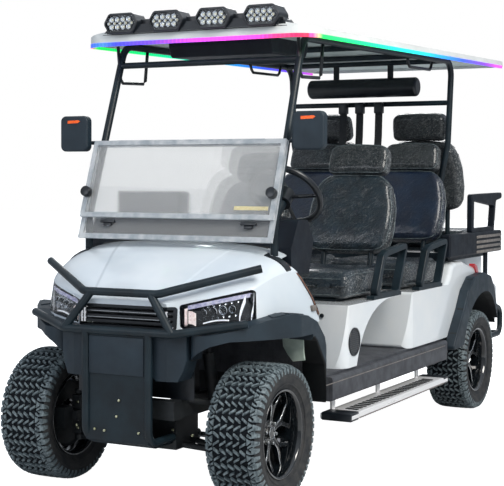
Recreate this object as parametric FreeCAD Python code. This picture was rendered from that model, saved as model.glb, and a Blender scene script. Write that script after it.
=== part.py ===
import FreeCAD, Part
import math
import os

V = FreeCAD.Vector

# Six-seat lifted golf cart. X is across (the driver's left is +X), Y is along (the nose points to -Y),
# Z is up and the ground is at zero. All sizes are in millimetres.

# Overall sizes
wheelbase = 2620.0
front_overhang = 330.0
rear_overhang = 850.0
vehicle_length = front_overhang + wheelbase + rear_overhang
half_track = 510.0
base_half = 600.0
front_axle_y = -vehicle_length / 2 + front_overhang
rear_axle_y = front_axle_y + wheelbase
sheet = 4.0
fit_gap = 0.3
running_gap = 0.05
move_gap = 6.0
overrun = 5.0

# Wheels
tyre_radius = 292.0
tyre_width = 236.0
tyre_crown = 8.0
tyre_shoulder = 26.0
tyre_wall = 14.0
rim_radius = 178.0
rim_flange = 9.0
rim_width = 204.0
rim_wall = 5.0
rim_lip = 12.0
spoke_count = 6
spoke_width = 34.0
spoke_depth = 22.0
rim_centre_radius = 58.0
rim_centre_inset = 62.0
hub_radius = 34.0
hub_flange_radius = 56.0
hub_flange = 10.0
hub_length = 86.0
spindle_radius = 15.0
disc_radius = 104.0
disc_thickness = 5.0
axle_z = tyre_radius

# Steering
kingpin_x = 400.0
kingpin_radius = 10.0
knuckle_width = 44.0
knuckle_depth = 52.0
knuckle_low_z = 208.0
knuckle_high_z = 380.0
arm_eye_radius = 22.0
arm_eye_height = 22.0
steer_arm_reach = 105.0
steer_arm_thick = 14.0
steer_arm_width = 30.0
rack_radius = 12.0
rack_half = 236.0
rack_housing_radius = 24.0
rack_housing_half = 150.0
tie_rod_radius = 8.0
tie_eye_radius = 15.0

# Ladder frame
rail_x = 200.0
rail_width = 50.0
rail_low_z = 350.0
rail_high_z = 430.0
rail_front_reach = 235.0
rail_rear_reach = 400.0
outrigger_width = 50.0
arm_tube_radius = 13.0
arm_spread = 105.0
arm_low_share = 0.55
subframe_low_z = 205.0
subframe_half_x = 170.0
subframe_half_y = 120.0
shock_radius = 26.0
shock_rod_radius = 8.0
tower_height = 210.0

# Floor, rockers and running boards
floor_top_z = 476.0
floor_thick = 12.0
floor_half = base_half - 10.0
rocker_width = 55.0
rocker_low_z = 356.0
rocker_outer = base_half + 20.0
rocker_front_reach = 480.0
board_inner = base_half - 48.0
board_width = 153.0
board_outer = board_inner + board_width
board_top_z = 302.0
board_thick = 32.0
board_front_reach = 500.0
board_length = 1310.0
board_bracket = 40.0

# Front body
hood_front_reach = -262.0
hood_rear_reach = 238.0
hood_half = base_half + 9.0
hood_front_z = 841.0
hood_rear_z = 1056.0
hood_low_z = 727.0
bumper_half = 302.0
bumper_low_z = 520.0
bumper_front_reach = -292.0
bumper_depth = 120.0
flare_proud = 56.0
flare_outer = base_half + flare_proud
flare_inner = base_half - 55.0
flare_front_reach = -266.0
flare_low_z = 690.0
flare_leg_outer_reach = 385.0
guard_tube = 17.0
guard_bend = 60.0
post_radius = 17.0
post_foot_x = 474.0
post_foot_reach = 184.0
post_foot_z = 880.0
post_bend_z = 1166.0
post_lean = 0.36
post_bend = 90.0
roof_rail_rear_x = 506.0
rear_post_reach = -210.0
rear_post_waist_z = 1560.0
rear_post_low_x = 430.0
cross_tube_z = 1875.0
belt_bar_z = 1790.0

# Windshield
glass_thick = 5.0
glass_frame = 22.0
glass_half = 492.0
screen_hinge_z = 1503.0
screen_foot_z = 1064.0
screen_upper_height = 372.0
screen_gap = 6.0
screen_thick = 13.0

# Seats
seat_x = base_half / 2
seat_width = base_half - 130.0
seat_pitch = 790.0
cushion_thick = 140.0
cushion_depth = 500.0
cushion_reach = 830.0
back_width = 466.0
back_thick = 105.0
back_low_z = 985.0
back_top_z = 1405.0
back_low_reach = 1345.0
back_lean = 0.34
headrest_width = 330.0
headrest_height = 165.0
headrest_thick = 100.0

# Seat bases and rear body
base_top_z = 765.0
base_front_reach = 655.0
base_low_length = 150.0
base_top_rear_reach = 1293.0
rear_body_reach = 1495.0
rear_body_top_z = 884.0
rear_body_tail = 430.0
arch_radius = 420.0
seat_box_half = base_half - 62.0
seat_box_top_z = 930.0
seat_box_front = -330.0
seat_box_rear = 430.0

# Roof
roof_front_reach = 290.0
roof_rear_reach = 470.0
roof_half_front = 585.0
roof_half_rear = 636.0
roof_edge_front_z = 1966.0
roof_edge_rear_z = 2042.0
roof_side = 34.0
roof_crown = 96.0

# Light bar and sound bar
light_bar_half = 470.0
light_pod_width = 186.0
light_pod_height = 94.0
light_pod_depth = 74.0
light_pod_spacing = 240.0
sound_bar_radius = 55.0
sound_bar_half = 340.0
sound_bar_z = 1880.0

# Axle, springs and motor
shock_rod_share = 0.45
shock_body_share = 0.92
shock_eye_radius = 13.0
shock_top_x = 252.0
shock_low_x = 318.0
rear_tube_reach = 430.0
rear_tube_radius = 38.0
diff_half = 70.0
diff_radius = 92.0
motor_radius = 92.0
motor_half = 150.0
leaf_half_length = 390.0
leaf_eye = 30.0
leaf_thick = 24.0
leaf_width = 44.0
rear_shock_x = 300.0
rear_shock_run = 70.0
battery_half = 260.0
battery_length = 240.0
battery_height = 230.0
battery_reach = rear_body_reach + 95.0

# Steering wheel and column
wheel_x = 320.0
wheel_reach = 610.0
wheel_z = 1270.0
wheel_ring = 168.0
wheel_grip = 15.0
wheel_hub_radius = 42.0
wheel_hub_depth = 55.0
wheel_shaft_length = 60.0
wheel_spoke_radius = 9.0
wheel_spoke_angles = (0.0, 90.0, 180.0)
column_rise = 42.0
column_radius = 24.0
column_shaft = 11.0

# Dash
dash_half = base_half - 72.0
dash_low_z = 930.0
dash_top_z = 1165.0
dash_depth = 230.0
dash_drop = 90.0
dash_round = 16.0
dash_crest_share = 0.3
dash_brow_share = 0.72
dash_foot_share = 0.8
dash_bins = ((-480.0, -270.0), (-240.0, -60.0), (60.0, 220.0))
dash_hood = (-400.0, -70.0)
dash_hood_z = 1285.0
well_rear_reach = 395.0
well_top_z = 650.0
well_slope_share = 0.8

# Hood, lamps and grille
hood_shares = (
    (0.0, 0.36, -0.06, 0.0),
    (0.12, 0.47, 0.02, 0.13),
    (0.4, 0.86, 0.22, 0.48),
    (0.62, 0.93, 0.42, 0.76),
    (0.82, 0.97, 0.5, 0.96),
    (1.0, 1.0, 0.52, 1.02),
)
hood_shoulder_share = 0.945
hood_over_share = 0.875
hood_over_rise_share = 0.84
hood_knee_share = 0.6
hood_loft_degree = 3
cowl_half = 505.0
cowl_rear_reach = 372.0
cowl_points = ((118.0, 1045.0), (226.0, 930.0), (302.0, 840.0), (352.0, 760.0), (352.0, 700.0))
lamp_corners = ((250.0, 728.0), (516.0, 762.0), (503.0, 890.0), (243.0, 824.0))
lamp_ways = ((-1.0, -1.0), (1.0, -1.0), (1.0, 1.0), (-1.0, 1.0))
lamp_round = 14.0
lamp_rear_reach = 60.0
lamp_depth = 60.0
grille_half = 238.0
grille_low_z = 722.0
grille_high_z = 818.0
grille_rear_reach = -150.0
grille_bars = 4
grille_frame = 12.0

# Bumper, flares and guard
bumper_sweep = 26.0
bumper_flat_share = 0.75
flare_round = 16.0
flare_edge = 9.0
flare_wall = 5.0
wing_corner = 70.0
wing_root = bumper_half + fit_gap
wing_plan = (
    (wing_root, -266.0),
    (400.0, -252.0),
    (520.0, -150.0),
    (600.0, -42.0),
    (flare_outer, 60.0),
    (flare_outer, 385.0),
    (wing_root, 385.0),
)
wing_front = (
    (wing_root, 600.0),
    (352.0, 640.0),
    (400.0, 666.0),
    (462.0, 684.0),
    (flare_outer, 690.0),
    (flare_outer, 800.0),
    (wing_root, 800.0),
)
wing_side = (
    (-330.0, 560.0),
    (190.0, 560.0),
    (190.0, 690.0),
    (236.0, 655.0),
    (322.0, 545.0),
    (352.0, 372.0),
    (385.0, 372.0),
    (366.0, 545.0),
    (318.0, 668.0),
    (240.0, 740.0),
    (150.0, 772.0),
    (34.0, 788.0),
    (-80.0, 766.0),
    (-160.0, 735.0),
    (-250.0, 711.0),
    (-330.0, 695.0),
)
wing_inner_x = 440.0
bumper_lobes = (
    (0.0, 604.0),
    (120.0, 604.0),
    (150.0, 540.0),
    (176.0, 519.0),
    (268.0, 519.0),
    (288.0, 560.0),
    (bumper_half, 606.0),
)
guard_top_end = (526.0, -40.0, 974.0)
guard_top_corner = (180.0, -285.0, 872.0)
guard_low_end = (524.0, -158.0, 757.0)
guard_low_corner = (261.0, -313.0, 715.0)
guard_upright_x = 152.0
guard_foot_z = 258.0
guard_brace_share = 0.8
plate_low_z = 545.0
skid_low_z = 233.0
skid_run = 60.0
post_top_x = 466.0
rear_post_knee_z = 1250.0
cross_tube_share = 0.85
roof_cross_shares = (0.35, 0.7, 0.95)

# Seat details
cushion_round = 30.0
headrest_round = 40.0
headrest_edge = 26.0
seat_plate = 12.0
seat_post_radius = 14.0
seat_post_x = 130.0
back_sink = 30.0
back_outline = (
    (0.28, 0.0),
    (0.455, 0.05),
    (0.5, 0.3),
    (0.492, 0.58),
    (0.43, 0.84),
    (0.345, 1.0),
)
back_round = 46.0
back_edge = 30.0
row_rise = 30.0
rear_back_reach = -80.0
rear_back_low_z = 1158.0
rear_back_lean_share = 0.74
rear_cushion_front = -10.0
rear_cushion_rear = 436.0
rear_cushion_half = 525.0
rear_cushion_thick = 108.0
rear_hinge_reach = 446.0
screen_barrel = 3.9
hinge_radius = 7.0
hinge_half = 380.0
base_rake = 45.0
base_curve_high_share = 0.44
base_curve_low_share = 0.133
base_curve_rise_share = 0.637
base_round = 18.0
base_corner = 62.0
arm_inner = base_half - 44.0
arm_outer = base_half - 4.0
arm_front_reach = 1047.0
arm_pitch = 632.0
arm_length = 436.0
arm_row_gap = 37.0
arm_outline = ((0.0, 0.0), (106.0, 212.0), (160.0, 232.0), (425.0, 258.0), (arm_length, 226.0), (322.0, 0.0))
arm_thick = 27.0
arm_bend = 34.0
arm_edge = 7.0
arm_foot_rise = 18.0
arm_foot_proud = 22.0
rear_arm_front_reach = arm_front_reach + arm_pitch + arm_length + arm_row_gap
rear_arm_rear = 520.0
rear_arm_grooves = (940.0, 968.0, 996.0)
rear_arm_groove = 8.0
rear_arm_ribbed_reach = 20.0
rear_arm_low_z = 910.0
rear_arm_top_z = 1040.0
rear_arm_width = 60.0
rear_arm_round = 12.0
rear_grab_points = ((-40.0, 1030.0), (-40.0, 1264.0), (560.0, 1272.0), (560.0, 1236.0),
        (440.0, 1222.0), (400.0, 1030.0))
rear_grab_thick = 34.0
rear_grab_bend = 22.0
rear_flare_front = 570.0
rear_flare_points = (
    (-rear_flare_front, 408.0),
    (-505.0, 494.0),
    (-385.0, 618.0),
    (-305.0, 722.0),
    (-190.0, 792.0),
    (0.0, 806.0),
    (140.0, 776.0),
    (252.0, 700.0),
    (330.0, 580.0),
    (352.0, 440.0),
)
rear_flare_plan = ((0.3, -600.0), (56.0, -560.0), (56.0, 60.0), (26.0, 370.0), (0.3, 370.0))
rear_flare_lip = 16.0
liner_gap = 1.0
fender_points = (
    (-560.0, 480.0),
    (-560.0, 740.0),
    (-470.0, 820.0),
    (-430.0, 872.0),
    (-370.0, rear_body_top_z),
    (-240.0, rear_body_top_z),
    (-40.0, 842.0),
    (140.0, 786.0),
    (430.0, 706.0),
    (430.0, 480.0),
)
fender_round = 30.0
fender_edge = 26.0
deck_half = 496.0
fender_inner = base_half - 130.0
tail_light_points = ((-62.0, 862.0), (-12.0, 846.0), (30.0, 790.0), (-20.0, 806.0))
tail_light_proud = 8.0
tail_bar_low_z = 470.0
tail_bar_high_z = 600.0
tail_bar_depth = 62.0
tail_bar_round = 20.0
footrest_half = 500.0
footrest_root_z = 620.0
footrest_knee_z = 516.0
footrest_z = 360.0
deck_rest_z = 796.0
bracket_shares = (0.06, 0.48, 0.9)

# Roof details
roof_corner = 110.0
roof_brow = 90.0
light_bar_reach = 312.0
light_bar_z = 2010.0
light_bar_rail = 62.0
light_bar_depth = 56.0
light_bar_taper = 40.0
light_pods = 4
light_foot_length = 120.0
pod_end_share = 0.62
pod_rise = 22.0
pod_round = 22.0
pod_edge = 6.0
pod_rim = 9.0
pod_recess = 9.0
console_half = 270.0
console_front_reach = 545.0
console_rear_reach = 960.0
console_drop = 74.0
console_round = 24.0
console_edge = 10.0
mirror_x = 600.0
mirror_z = 1550.0
mirror_width = 150.0
mirror_height = 165.0
mirror_depth = 44.0
mirror_round = 26.0
mirror_edge = 9.0
mirror_arm_radius = 9.0


def block(x0, x1, y0, y1, z0, z1):
    return Part.makeBox(x1 - x0, y1 - y0, z1 - z0, V(x0, y0, z0))


def rod(a, b, radius):
    along = b.sub(a)
    return Part.makeCylinder(radius, along.Length, a, along)


def rounded(points, radius):
    """A closed wire through the points, in order, with each corner rounded."""
    edges = []
    count = len(points)
    starts = []
    ends = []
    for i in range(count):
        before = points[i - 1].sub(points[i])
        after = points[(i + 1) % count].sub(points[i])
        turn = before.getAngle(after)
        half_gap = radius / math.tan(turn / 2)
        limit = min(before.Length, after.Length) / 2.1
        trim = min(half_gap, limit)
        u = V(before).normalize()
        w = V(after).normalize()
        first = points[i].add(u * trim)
        last = points[i].add(w * trim)
        middle_way = V(u.add(w)).normalize()
        size = trim * math.tan(turn / 2)
        centre = points[i].add(middle_way * (size / math.sin(turn / 2)))
        middle = centre.add(V(points[i].sub(centre)).normalize() * size)
        starts.append(first)
        ends.append(last)
        edges.append(Part.Arc(first, middle, last).toShape())
    for i in range(count):
        edges.append(Part.LineSegment(ends[i], starts[(i + 1) % count]).toShape())
    return Part.Wire(Part.__sortEdges__(edges))


def side_prism(points, x0, x1, radius=0):
    """Extrudes an outline of (y, z) points from x0 to x1."""
    corners = [V(x0, y, z) for y, z in points]
    if radius:
        wire = rounded(corners, radius)
    else:
        wire = Part.makePolygon(corners + [corners[0]])
    return Part.Face(wire).extrude(V(x1 - x0, 0, 0))


def front_prism(points, y0, y1, radius=0):
    """Extrudes an outline of (x, z) points from y0 to y1."""
    corners = [V(x, y0, z) for x, z in points]
    if radius:
        wire = rounded(corners, radius)
    else:
        wire = Part.makePolygon(corners + [corners[0]])
    return Part.Face(wire).extrude(V(0, y1 - y0, 0))


def plan_prism(points, z0, z1, radius=0):
    """Extrudes an outline of (x, y) points from z0 to z1."""
    corners = [V(x, y, z0) for x, y in points]
    if radius:
        wire = rounded(corners, radius)
    else:
        wire = Part.makePolygon(corners + [corners[0]])
    return Part.Face(wire).extrude(V(0, 0, z1 - z0))


def tube(points, radius, bend):
    """A round bar along the points, with a bend of the given radius at each corner."""
    edges = []
    last = points[0]
    for i in range(1, len(points) - 1):
        here = points[i]
        u = V(points[i - 1].sub(here)).normalize()
        w = V(points[i + 1].sub(here)).normalize()
        turn = u.getAngle(w)
        room = min(points[i - 1].sub(here).Length, points[i + 1].sub(here).Length) / 2.1
        trim = min(bend / math.tan(turn / 2), room)
        size = trim * math.tan(turn / 2)
        first = here.add(u * trim)
        end = here.add(w * trim)
        centre = here.add(V(u.add(w)).normalize() * (size / math.sin(turn / 2)))
        middle = centre.add(V(here.sub(centre)).normalize() * size)
        edges.append(Part.LineSegment(last, first).toShape())
        edges.append(Part.Arc(first, middle, end).toShape())
        last = end
    edges.append(Part.LineSegment(last, points[-1]).toShape())
    path = Part.Wire(edges)
    way = points[1].sub(points[0])
    profile = Part.Wire(Part.makeCircle(radius, points[0], way))
    return path.makePipeShell([profile], True, True)


def end_edges(shape, way, places):
    """The edges that lie wholly at one of the places along an axis, given as 0, 1 or 2."""
    found = []
    for edge in shape.Edges:
        box = edge.BoundBox
        low = (box.XMin, box.YMin, box.ZMin)[way]
        high = (box.XMax, box.YMax, box.ZMax)[way]
        for place in places:
            if abs(low - place) < running_gap and abs(high - place) < running_gap:
                found.append(edge)
                break
    return found


def soft_side_prism(points, x0, x1, radius, edge, places):
    """A side prism with its rims rounded at the given X places."""
    body = side_prism(points, x0, x1, radius)
    return body.makeFillet(edge, end_edges(body, 0, places))


def soft_front_prism(points, y0, y1, radius, edge, places):
    """A front prism with its rims rounded at the given Y places."""
    body = front_prism(points, y0, y1, radius)
    return body.makeFillet(edge, end_edges(body, 1, places))


def shrunk(points, inset):
    """The closed outline moved inwards by the inset, corner by corner."""
    area = 0.0
    count = len(points)
    for i in range(count):
        a = points[i]
        b = points[(i + 1) % count]
        area = area + a[0] * b[1] - b[0] * a[1]
    turn = 1.0 if area > 0 else -1.0
    moved = []
    for i in range(count):
        before = points[i - 1]
        here = points[i]
        after = points[(i + 1) % count]
        u = V(here[0] - before[0], here[1] - before[1], 0).normalize()
        w = V(after[0] - here[0], after[1] - here[1], 0).normalize()
        left_u = V(-u.y, u.x, 0) * turn
        left_w = V(-w.y, w.x, 0) * turn
        mitre = left_u.add(left_w)
        scale = inset * 2 / (mitre.Length * mitre.Length)
        moved.append((here[0] + mitre.x * scale, here[1] + mitre.y * scale))
    return moved


def plan_room(half, front, rear, corner):
    """A tall block with rounded upright corners."""
    points = [(-half, front), (half, front), (half, rear), (-half, rear)]
    return plan_prism(points, 0, vehicle_length, corner)


def soft_box(x0, x1, y0, y1, z0, z1, radius):
    solid = block(x0, x1, y0, y1, z0, z1)
    return solid.makeFillet(radius, solid.Edges)


def mirrored(shape):
    return shape.mirror(V(0, 0, 0), V(1, 0, 0))


def pair(shape):
    return [shape, mirrored(shape)]


def joined(shapes):
    whole = shapes[0]
    for shape in shapes[1:]:
        whole = whole.fuse(shape)
    return whole.removeSplitter()


def cut_all(shape, cutters):
    for cutter in cutters:
        shape = shape.cut(cutter)
    return shape


def save(name, shapes):
    solids = []
    for shape in shapes:
        solids.extend(shape.Solids)
    Part.makeCompound(solids).exportStep("parts/" + name + ".step")
    print(name, len(solids), "solids", round(sum(s.Volume for s in solids) / 1e6, 3), "litres")


def from_front(distance):
    """The Y place at a distance behind the front axle."""
    return front_axle_y + distance


def from_rear(distance):
    """The Y place at a distance behind the rear axle."""
    return rear_axle_y + distance


def spun(points, x_axis_y, x_axis_z):
    """Revolves an outline of (x, radius) points about the wheel axis."""
    corners = [V(x, x_axis_y, x_axis_z + r) for x, r in points]
    face = Part.Face(Part.makePolygon(corners + [corners[0]]))
    return face.revolve(V(0, x_axis_y, x_axis_z), V(1, 0, 0), 360)


def tyre(axle_y):
    half = tyre_width / 2
    x = half_track
    bead = rim_width / 2 - rim_lip
    wall_radius = (tyre_radius + rim_radius) / 2
    outline = [
        (x - bead, rim_radius + fit_gap),
        (x - bead - rim_lip + fit_gap, rim_radius + rim_flange + tyre_crown),
        (x - half, wall_radius),
        (x - half + tyre_crown, tyre_radius - tyre_shoulder - tyre_crown),
        (x - half + tyre_shoulder, tyre_radius - tyre_crown),
        (x, tyre_radius),
        (x + half - tyre_shoulder, tyre_radius - tyre_crown),
        (x + half - tyre_crown, tyre_radius - tyre_shoulder - tyre_crown),
        (x + half, wall_radius),
        (x + bead + rim_lip - fit_gap, rim_radius + rim_flange + tyre_crown),
        (x + bead, rim_radius + fit_gap),
        (x + bead - tyre_wall, rim_radius + fit_gap),
        (x + half - tyre_wall, wall_radius),
        (x + half - tyre_shoulder - tyre_wall, tyre_radius - tyre_crown - tyre_wall),
        (x - half + tyre_shoulder + tyre_wall, tyre_radius - tyre_crown - tyre_wall),
        (x - half + tyre_wall, wall_radius),
        (x - bead + tyre_wall, rim_radius + fit_gap),
    ]
    return spun(outline, axle_y, axle_z)


def rim(axle_y):
    x = half_track
    half = rim_width / 2
    barrel = spun(
        [
            (x - half, rim_radius - rim_wall),
            (x - half, rim_radius + rim_flange),
            (x - half + rim_wall, rim_radius + rim_flange),
            (x - half + rim_lip, rim_radius),
            (x + half - rim_lip, rim_radius),
            (x + half - rim_wall, rim_radius + rim_flange),
            (x + half, rim_radius + rim_flange),
            (x + half, rim_radius - rim_wall),
        ],
        axle_y,
        axle_z,
    )
    face_x = x + half - rim_centre_inset
    centre = rod(V(face_x - hub_flange, axle_y, axle_z), V(face_x + spoke_depth, axle_y, axle_z),
            rim_centre_radius)
    pieces = [barrel, centre]
    for i in range(spoke_count):
        angle = 360.0 * i / spoke_count
        reach = rim_radius - rim_wall / 2
        outline = [
            (face_x - hub_flange, rim_centre_radius - rim_lip),
            (face_x + spoke_depth, rim_centre_radius - rim_lip),
            (x + half - rim_wall, reach),
            (x + half - rim_wall - spoke_depth, reach),
        ]
        corners = [V(px, axle_y - spoke_width / 2, axle_z + r) for px, r in outline]
        spoke = Part.Face(Part.makePolygon(corners + [corners[0]])).extrude(V(0, spoke_width, 0))
        spoke.rotate(V(0, axle_y, axle_z), V(1, 0, 0), angle)
        pieces.append(spoke)
    return joined(pieces)


def wheel_rim(axle_y):
    """The rim with its hub and brake disc as one turning piece."""
    return joined([rim(axle_y), hub(axle_y)])


def hub(axle_y):
    face_x = half_track + rim_width / 2 - rim_centre_inset - hub_flange
    end = V(face_x, axle_y, axle_z)
    start = V(face_x - hub_length, axle_y, axle_z)
    body = joined(
        [
            rod(start, end, hub_radius),
            rod(V(face_x - hub_flange, axle_y, axle_z), end, hub_flange_radius),
            rod(start, V(start.x + disc_thickness, axle_y, axle_z), disc_radius),
        ]
    )
    bore_end = V(face_x - hub_flange, axle_y, axle_z)
    return body.cut(rod(V(start.x - overrun, axle_y, axle_z), bore_end, spindle_radius + running_gap))


def disc_face_x():
    return half_track + rim_width / 2 - rim_centre_inset - hub_flange - hub_length


def knuckle():
    y = front_axle_y
    half_d = knuckle_depth / 2
    inner = kingpin_x - knuckle_width / 2
    outer = kingpin_x + knuckle_width / 2
    upright = block(inner, outer, y - half_d, y + half_d, knuckle_low_z, knuckle_high_z)
    tip = half_track + rim_width / 2 - rim_centre_inset - hub_flange * 2 - move_gap
    spindle = rod(V(outer - overrun, y, axle_z), V(tip, y, axle_z), spindle_radius)
    pin = rod(
        V(kingpin_x, y, knuckle_low_z - move_gap - arm_eye_height),
        V(kingpin_x, y, knuckle_high_z + move_gap + arm_eye_height),
        kingpin_radius,
    )
    arm_z = axle_z - steer_arm_width
    arm = block(
        kingpin_x - steer_arm_width / 2,
        kingpin_x + steer_arm_width / 2,
        y,
        y + steer_arm_reach,
        arm_z - steer_arm_thick / 2,
        arm_z + steer_arm_thick / 2,
    )
    eye = rod(
        V(kingpin_x, y + steer_arm_reach, arm_z - steer_arm_thick / 2),
        V(kingpin_x, y + steer_arm_reach, arm_z + steer_arm_thick / 2),
        tie_eye_radius,
    )
    return joined([upright, spindle, pin, arm, eye])


def caliper():
    """The brake caliper, which straddles the disc in front of the axle."""
    y = front_axle_y
    face = disc_face_x()
    low = kingpin_x + knuckle_width / 2
    body = block(
        kingpin_x,
        face + disc_thickness + knuckle_width / 2,
        y - disc_radius - disc_thickness * 2,
        y - knuckle_depth,
        axle_z - knuckle_width,
        axle_z + knuckle_width,
    )
    slot = block(
        face - disc_thickness,
        face + disc_thickness * 2,
        y - disc_radius - disc_thickness * 2 + disc_thickness,
        y,
        axle_z - knuckle_depth * 2,
        axle_z + knuckle_depth * 2,
    )
    lug = block(
        kingpin_x - knuckle_width / 2,
        low,
        y - knuckle_depth - fit_gap,
        y - knuckle_depth / 2,
        axle_z - knuckle_width / 2,
        axle_z + knuckle_width / 2,
    )
    return joined([body.cut(slot), lug])


def tie_height():
    return axle_z - steer_arm_width - steer_arm_thick / 2 - move_gap - tie_eye_radius


def steering_rack():
    y = front_axle_y + steer_arm_reach
    z = tie_height()
    bar = rod(V(-rack_half, y, z), V(rack_half, y, z), rack_radius)
    pieces = [bar]
    for side in (-1, 1):
        eye_low = V(side * kingpin_x, y, z - tie_eye_radius)
        eye_high = V(side * kingpin_x, y, z + tie_eye_radius)
        pieces.append(rod(V(side * (rack_half - rack_radius), y, z), V(side * kingpin_x, y, z),
                tie_rod_radius))
        pieces.append(rod(eye_low, eye_high, tie_eye_radius))
    return joined(pieces)


def rack_housing():
    y = front_axle_y + steer_arm_reach
    z = tie_height()
    tube_body = rod(V(-rack_housing_half, y, z), V(rack_housing_half, y, z), rack_housing_radius)
    foot = block(
        -rack_housing_half / 2,
        rack_housing_half / 2,
        front_axle_y + subframe_half_y - rack_housing_radius * 3,
        y,
        z - rack_housing_radius / 2,
        z + rack_housing_radius,
    )
    return joined([tube_body, foot])


def chassis_frame():
    front = from_front(-rail_front_reach)
    rear = from_rear(rail_rear_reach)
    pieces = []
    for side in (-1, 1):
        x0 = side * rail_x - rail_width / 2
        pieces.append(block(x0, x0 + rail_width, front, rear, rail_low_z, rail_high_z))
    cross_places = [
        from_front(-rail_front_reach),
        from_front(well_rear_reach + floor_thick),
        from_front(base_front_reach),
        from_front(base_top_rear_reach - outrigger_width * 2),
        from_front(rear_body_reach + outrigger_width),
        from_rear(-arch_radius - outrigger_width * 2),
        from_rear(rail_rear_reach - outrigger_width),
    ]
    for place in cross_places:
        pieces.append(block(-rail_x, rail_x, place, place + outrigger_width, rail_low_z, rail_high_z))
    floor_low = floor_top_z - floor_thick
    outrigger_reach = rocker_outer - rocker_width - fit_gap
    for place in cross_places[1:-1]:
        pieces.append(
            block(-outrigger_reach, outrigger_reach, place, place + outrigger_width,
                    rail_high_z - sheet, floor_low)
        )
    pieces.extend(shock_towers())
    return joined(pieces)


def front_suspension():
    """Subframe, rack housing and the two pairs of control arms."""
    y = front_axle_y
    pieces = [
        rack_housing(),
        block(
            -subframe_half_x,
            subframe_half_x,
            y - subframe_half_y,
            y + subframe_half_y - rack_housing_radius * 2 - move_gap,
            subframe_low_z,
            rail_low_z,
        )
    ]
    for side in (-1, 1):
        low_eye = V(side * kingpin_x, y, knuckle_low_z - move_gap)
        high_eye = V(side * kingpin_x, y, knuckle_high_z + move_gap)
        drop = V(0, 0, -arm_eye_height)
        rise = V(0, 0, arm_eye_height)
        pieces.append(rod(low_eye.add(drop), low_eye, arm_eye_radius))
        pieces.append(rod(high_eye, high_eye.add(rise), arm_eye_radius))
        low_mid = V(low_eye.x - side * arm_eye_radius / 2, y, low_eye.z - arm_eye_height / 2)
        high_mid = V(high_eye.x - side * arm_eye_radius / 2, y, high_eye.z + arm_eye_height / 2)
        for way in (-1, 1):
            low_root = V(side * (subframe_half_x - arm_tube_radius),
                    y + way * arm_spread * arm_low_share, subframe_low_z + arm_tube_radius)
            high_root = V(side * (rail_x + rail_width / 2 - overrun), y + way * arm_spread,
                    rail_high_z - arm_tube_radius)
            pieces.append(rod(low_root, low_mid, arm_tube_radius))
            pieces.append(rod(high_root, high_mid, arm_tube_radius))
    body = joined(pieces)
    rack_y = y + steer_arm_reach
    rack_end = V(rack_half, rack_y, tie_height())
    bores = [rod(V(-rack_half, rack_y, tie_height()), rack_end, rack_radius + running_gap)]
    for side in (-1, 1):
        a = V(side * kingpin_x, y, 0)
        b = V(side * kingpin_x, y, rail_high_z + tower_height)
        bores.append(rod(a, b, kingpin_radius + running_gap))
    rails = []
    for side in (-1, 1):
        x0 = side * rail_x - rail_width / 2
        rails.append(block(x0, x0 + rail_width, y - vehicle_length, y + vehicle_length, rail_low_z,
                rail_high_z))
    return cut_all(body, bores + rails)


def shock(low, high):
    """A coil-over: a thin rod below and a fat body above."""
    way = high.sub(low)
    middle = low.add(way * shock_rod_share)
    top = low.add(way * shock_body_share)
    eye = rod(high.sub(V(0, shock_radius, 0)), high.add(V(0, shock_radius, 0)), shock_eye_radius)
    return joined([rod(low, high, shock_rod_radius), rod(middle, top, shock_radius), eye])


def shock_absorbers():
    y = front_axle_y
    front = shock(V(shock_low_x, y, knuckle_low_z), V(shock_top_x, y, rail_high_z + tower_height))
    low = V(rear_shock_x, rear_axle_y - rear_tube_radius - shock_rod_radius, axle_z)
    rear = shock(low, V(rear_shock_x, low.y - rear_shock_run, floor_top_z - shock_eye_radius - fit_gap))
    return pair(front) + pair(rear)


def shock_towers():
    """Plates on the rails that hold the top of the front shocks."""
    y = front_axle_y
    top = rail_high_z + tower_height
    plate = block(
        rail_x - rail_width / 2,
        rail_x - rail_width / 2 + sheet * 2,
        y - shock_radius * 2,
        y + shock_radius * 2,
        rail_high_z - sheet,
        top + shock_eye_radius,
    )
    peg = rod(V(plate.BoundBox.XMin, y, top), V(shock_top_x - shock_eye_radius - fit_gap, y, top),
            shock_rod_radius)
    return pair(joined([plate, peg]))


def rear_axle():
    y = rear_axle_y
    reach = half_track + rim_width / 2 - rim_centre_inset - hub_flange * 2 - move_gap
    tube_body = rod(V(-rear_tube_reach, y, axle_z), V(rear_tube_reach, y, axle_z), rear_tube_radius)
    half_shaft = rod(V(-reach, y, axle_z), V(reach, y, axle_z), spindle_radius)
    case = rod(V(-diff_half, y, axle_z), V(diff_half, y, axle_z), diff_radius)
    return joined([tube_body, half_shaft, case] + leaf_springs())


def motor():
    """The drive motor as one plain block behind the axle."""
    y = from_rear(diff_radius + motor_radius + fit_gap)
    can = rod(V(-motor_half, y, axle_z), V(motor_half, y, axle_z), motor_radius)
    return can.makeFillet(motor_radius / 8, can.Edges)


def battery():
    """The traction battery as one plain block inside the body under the second row."""
    front = from_front(battery_reach)
    low = floor_top_z + sheet
    return block(-battery_half, battery_half, front, front + battery_length, low, low + battery_height)


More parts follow.
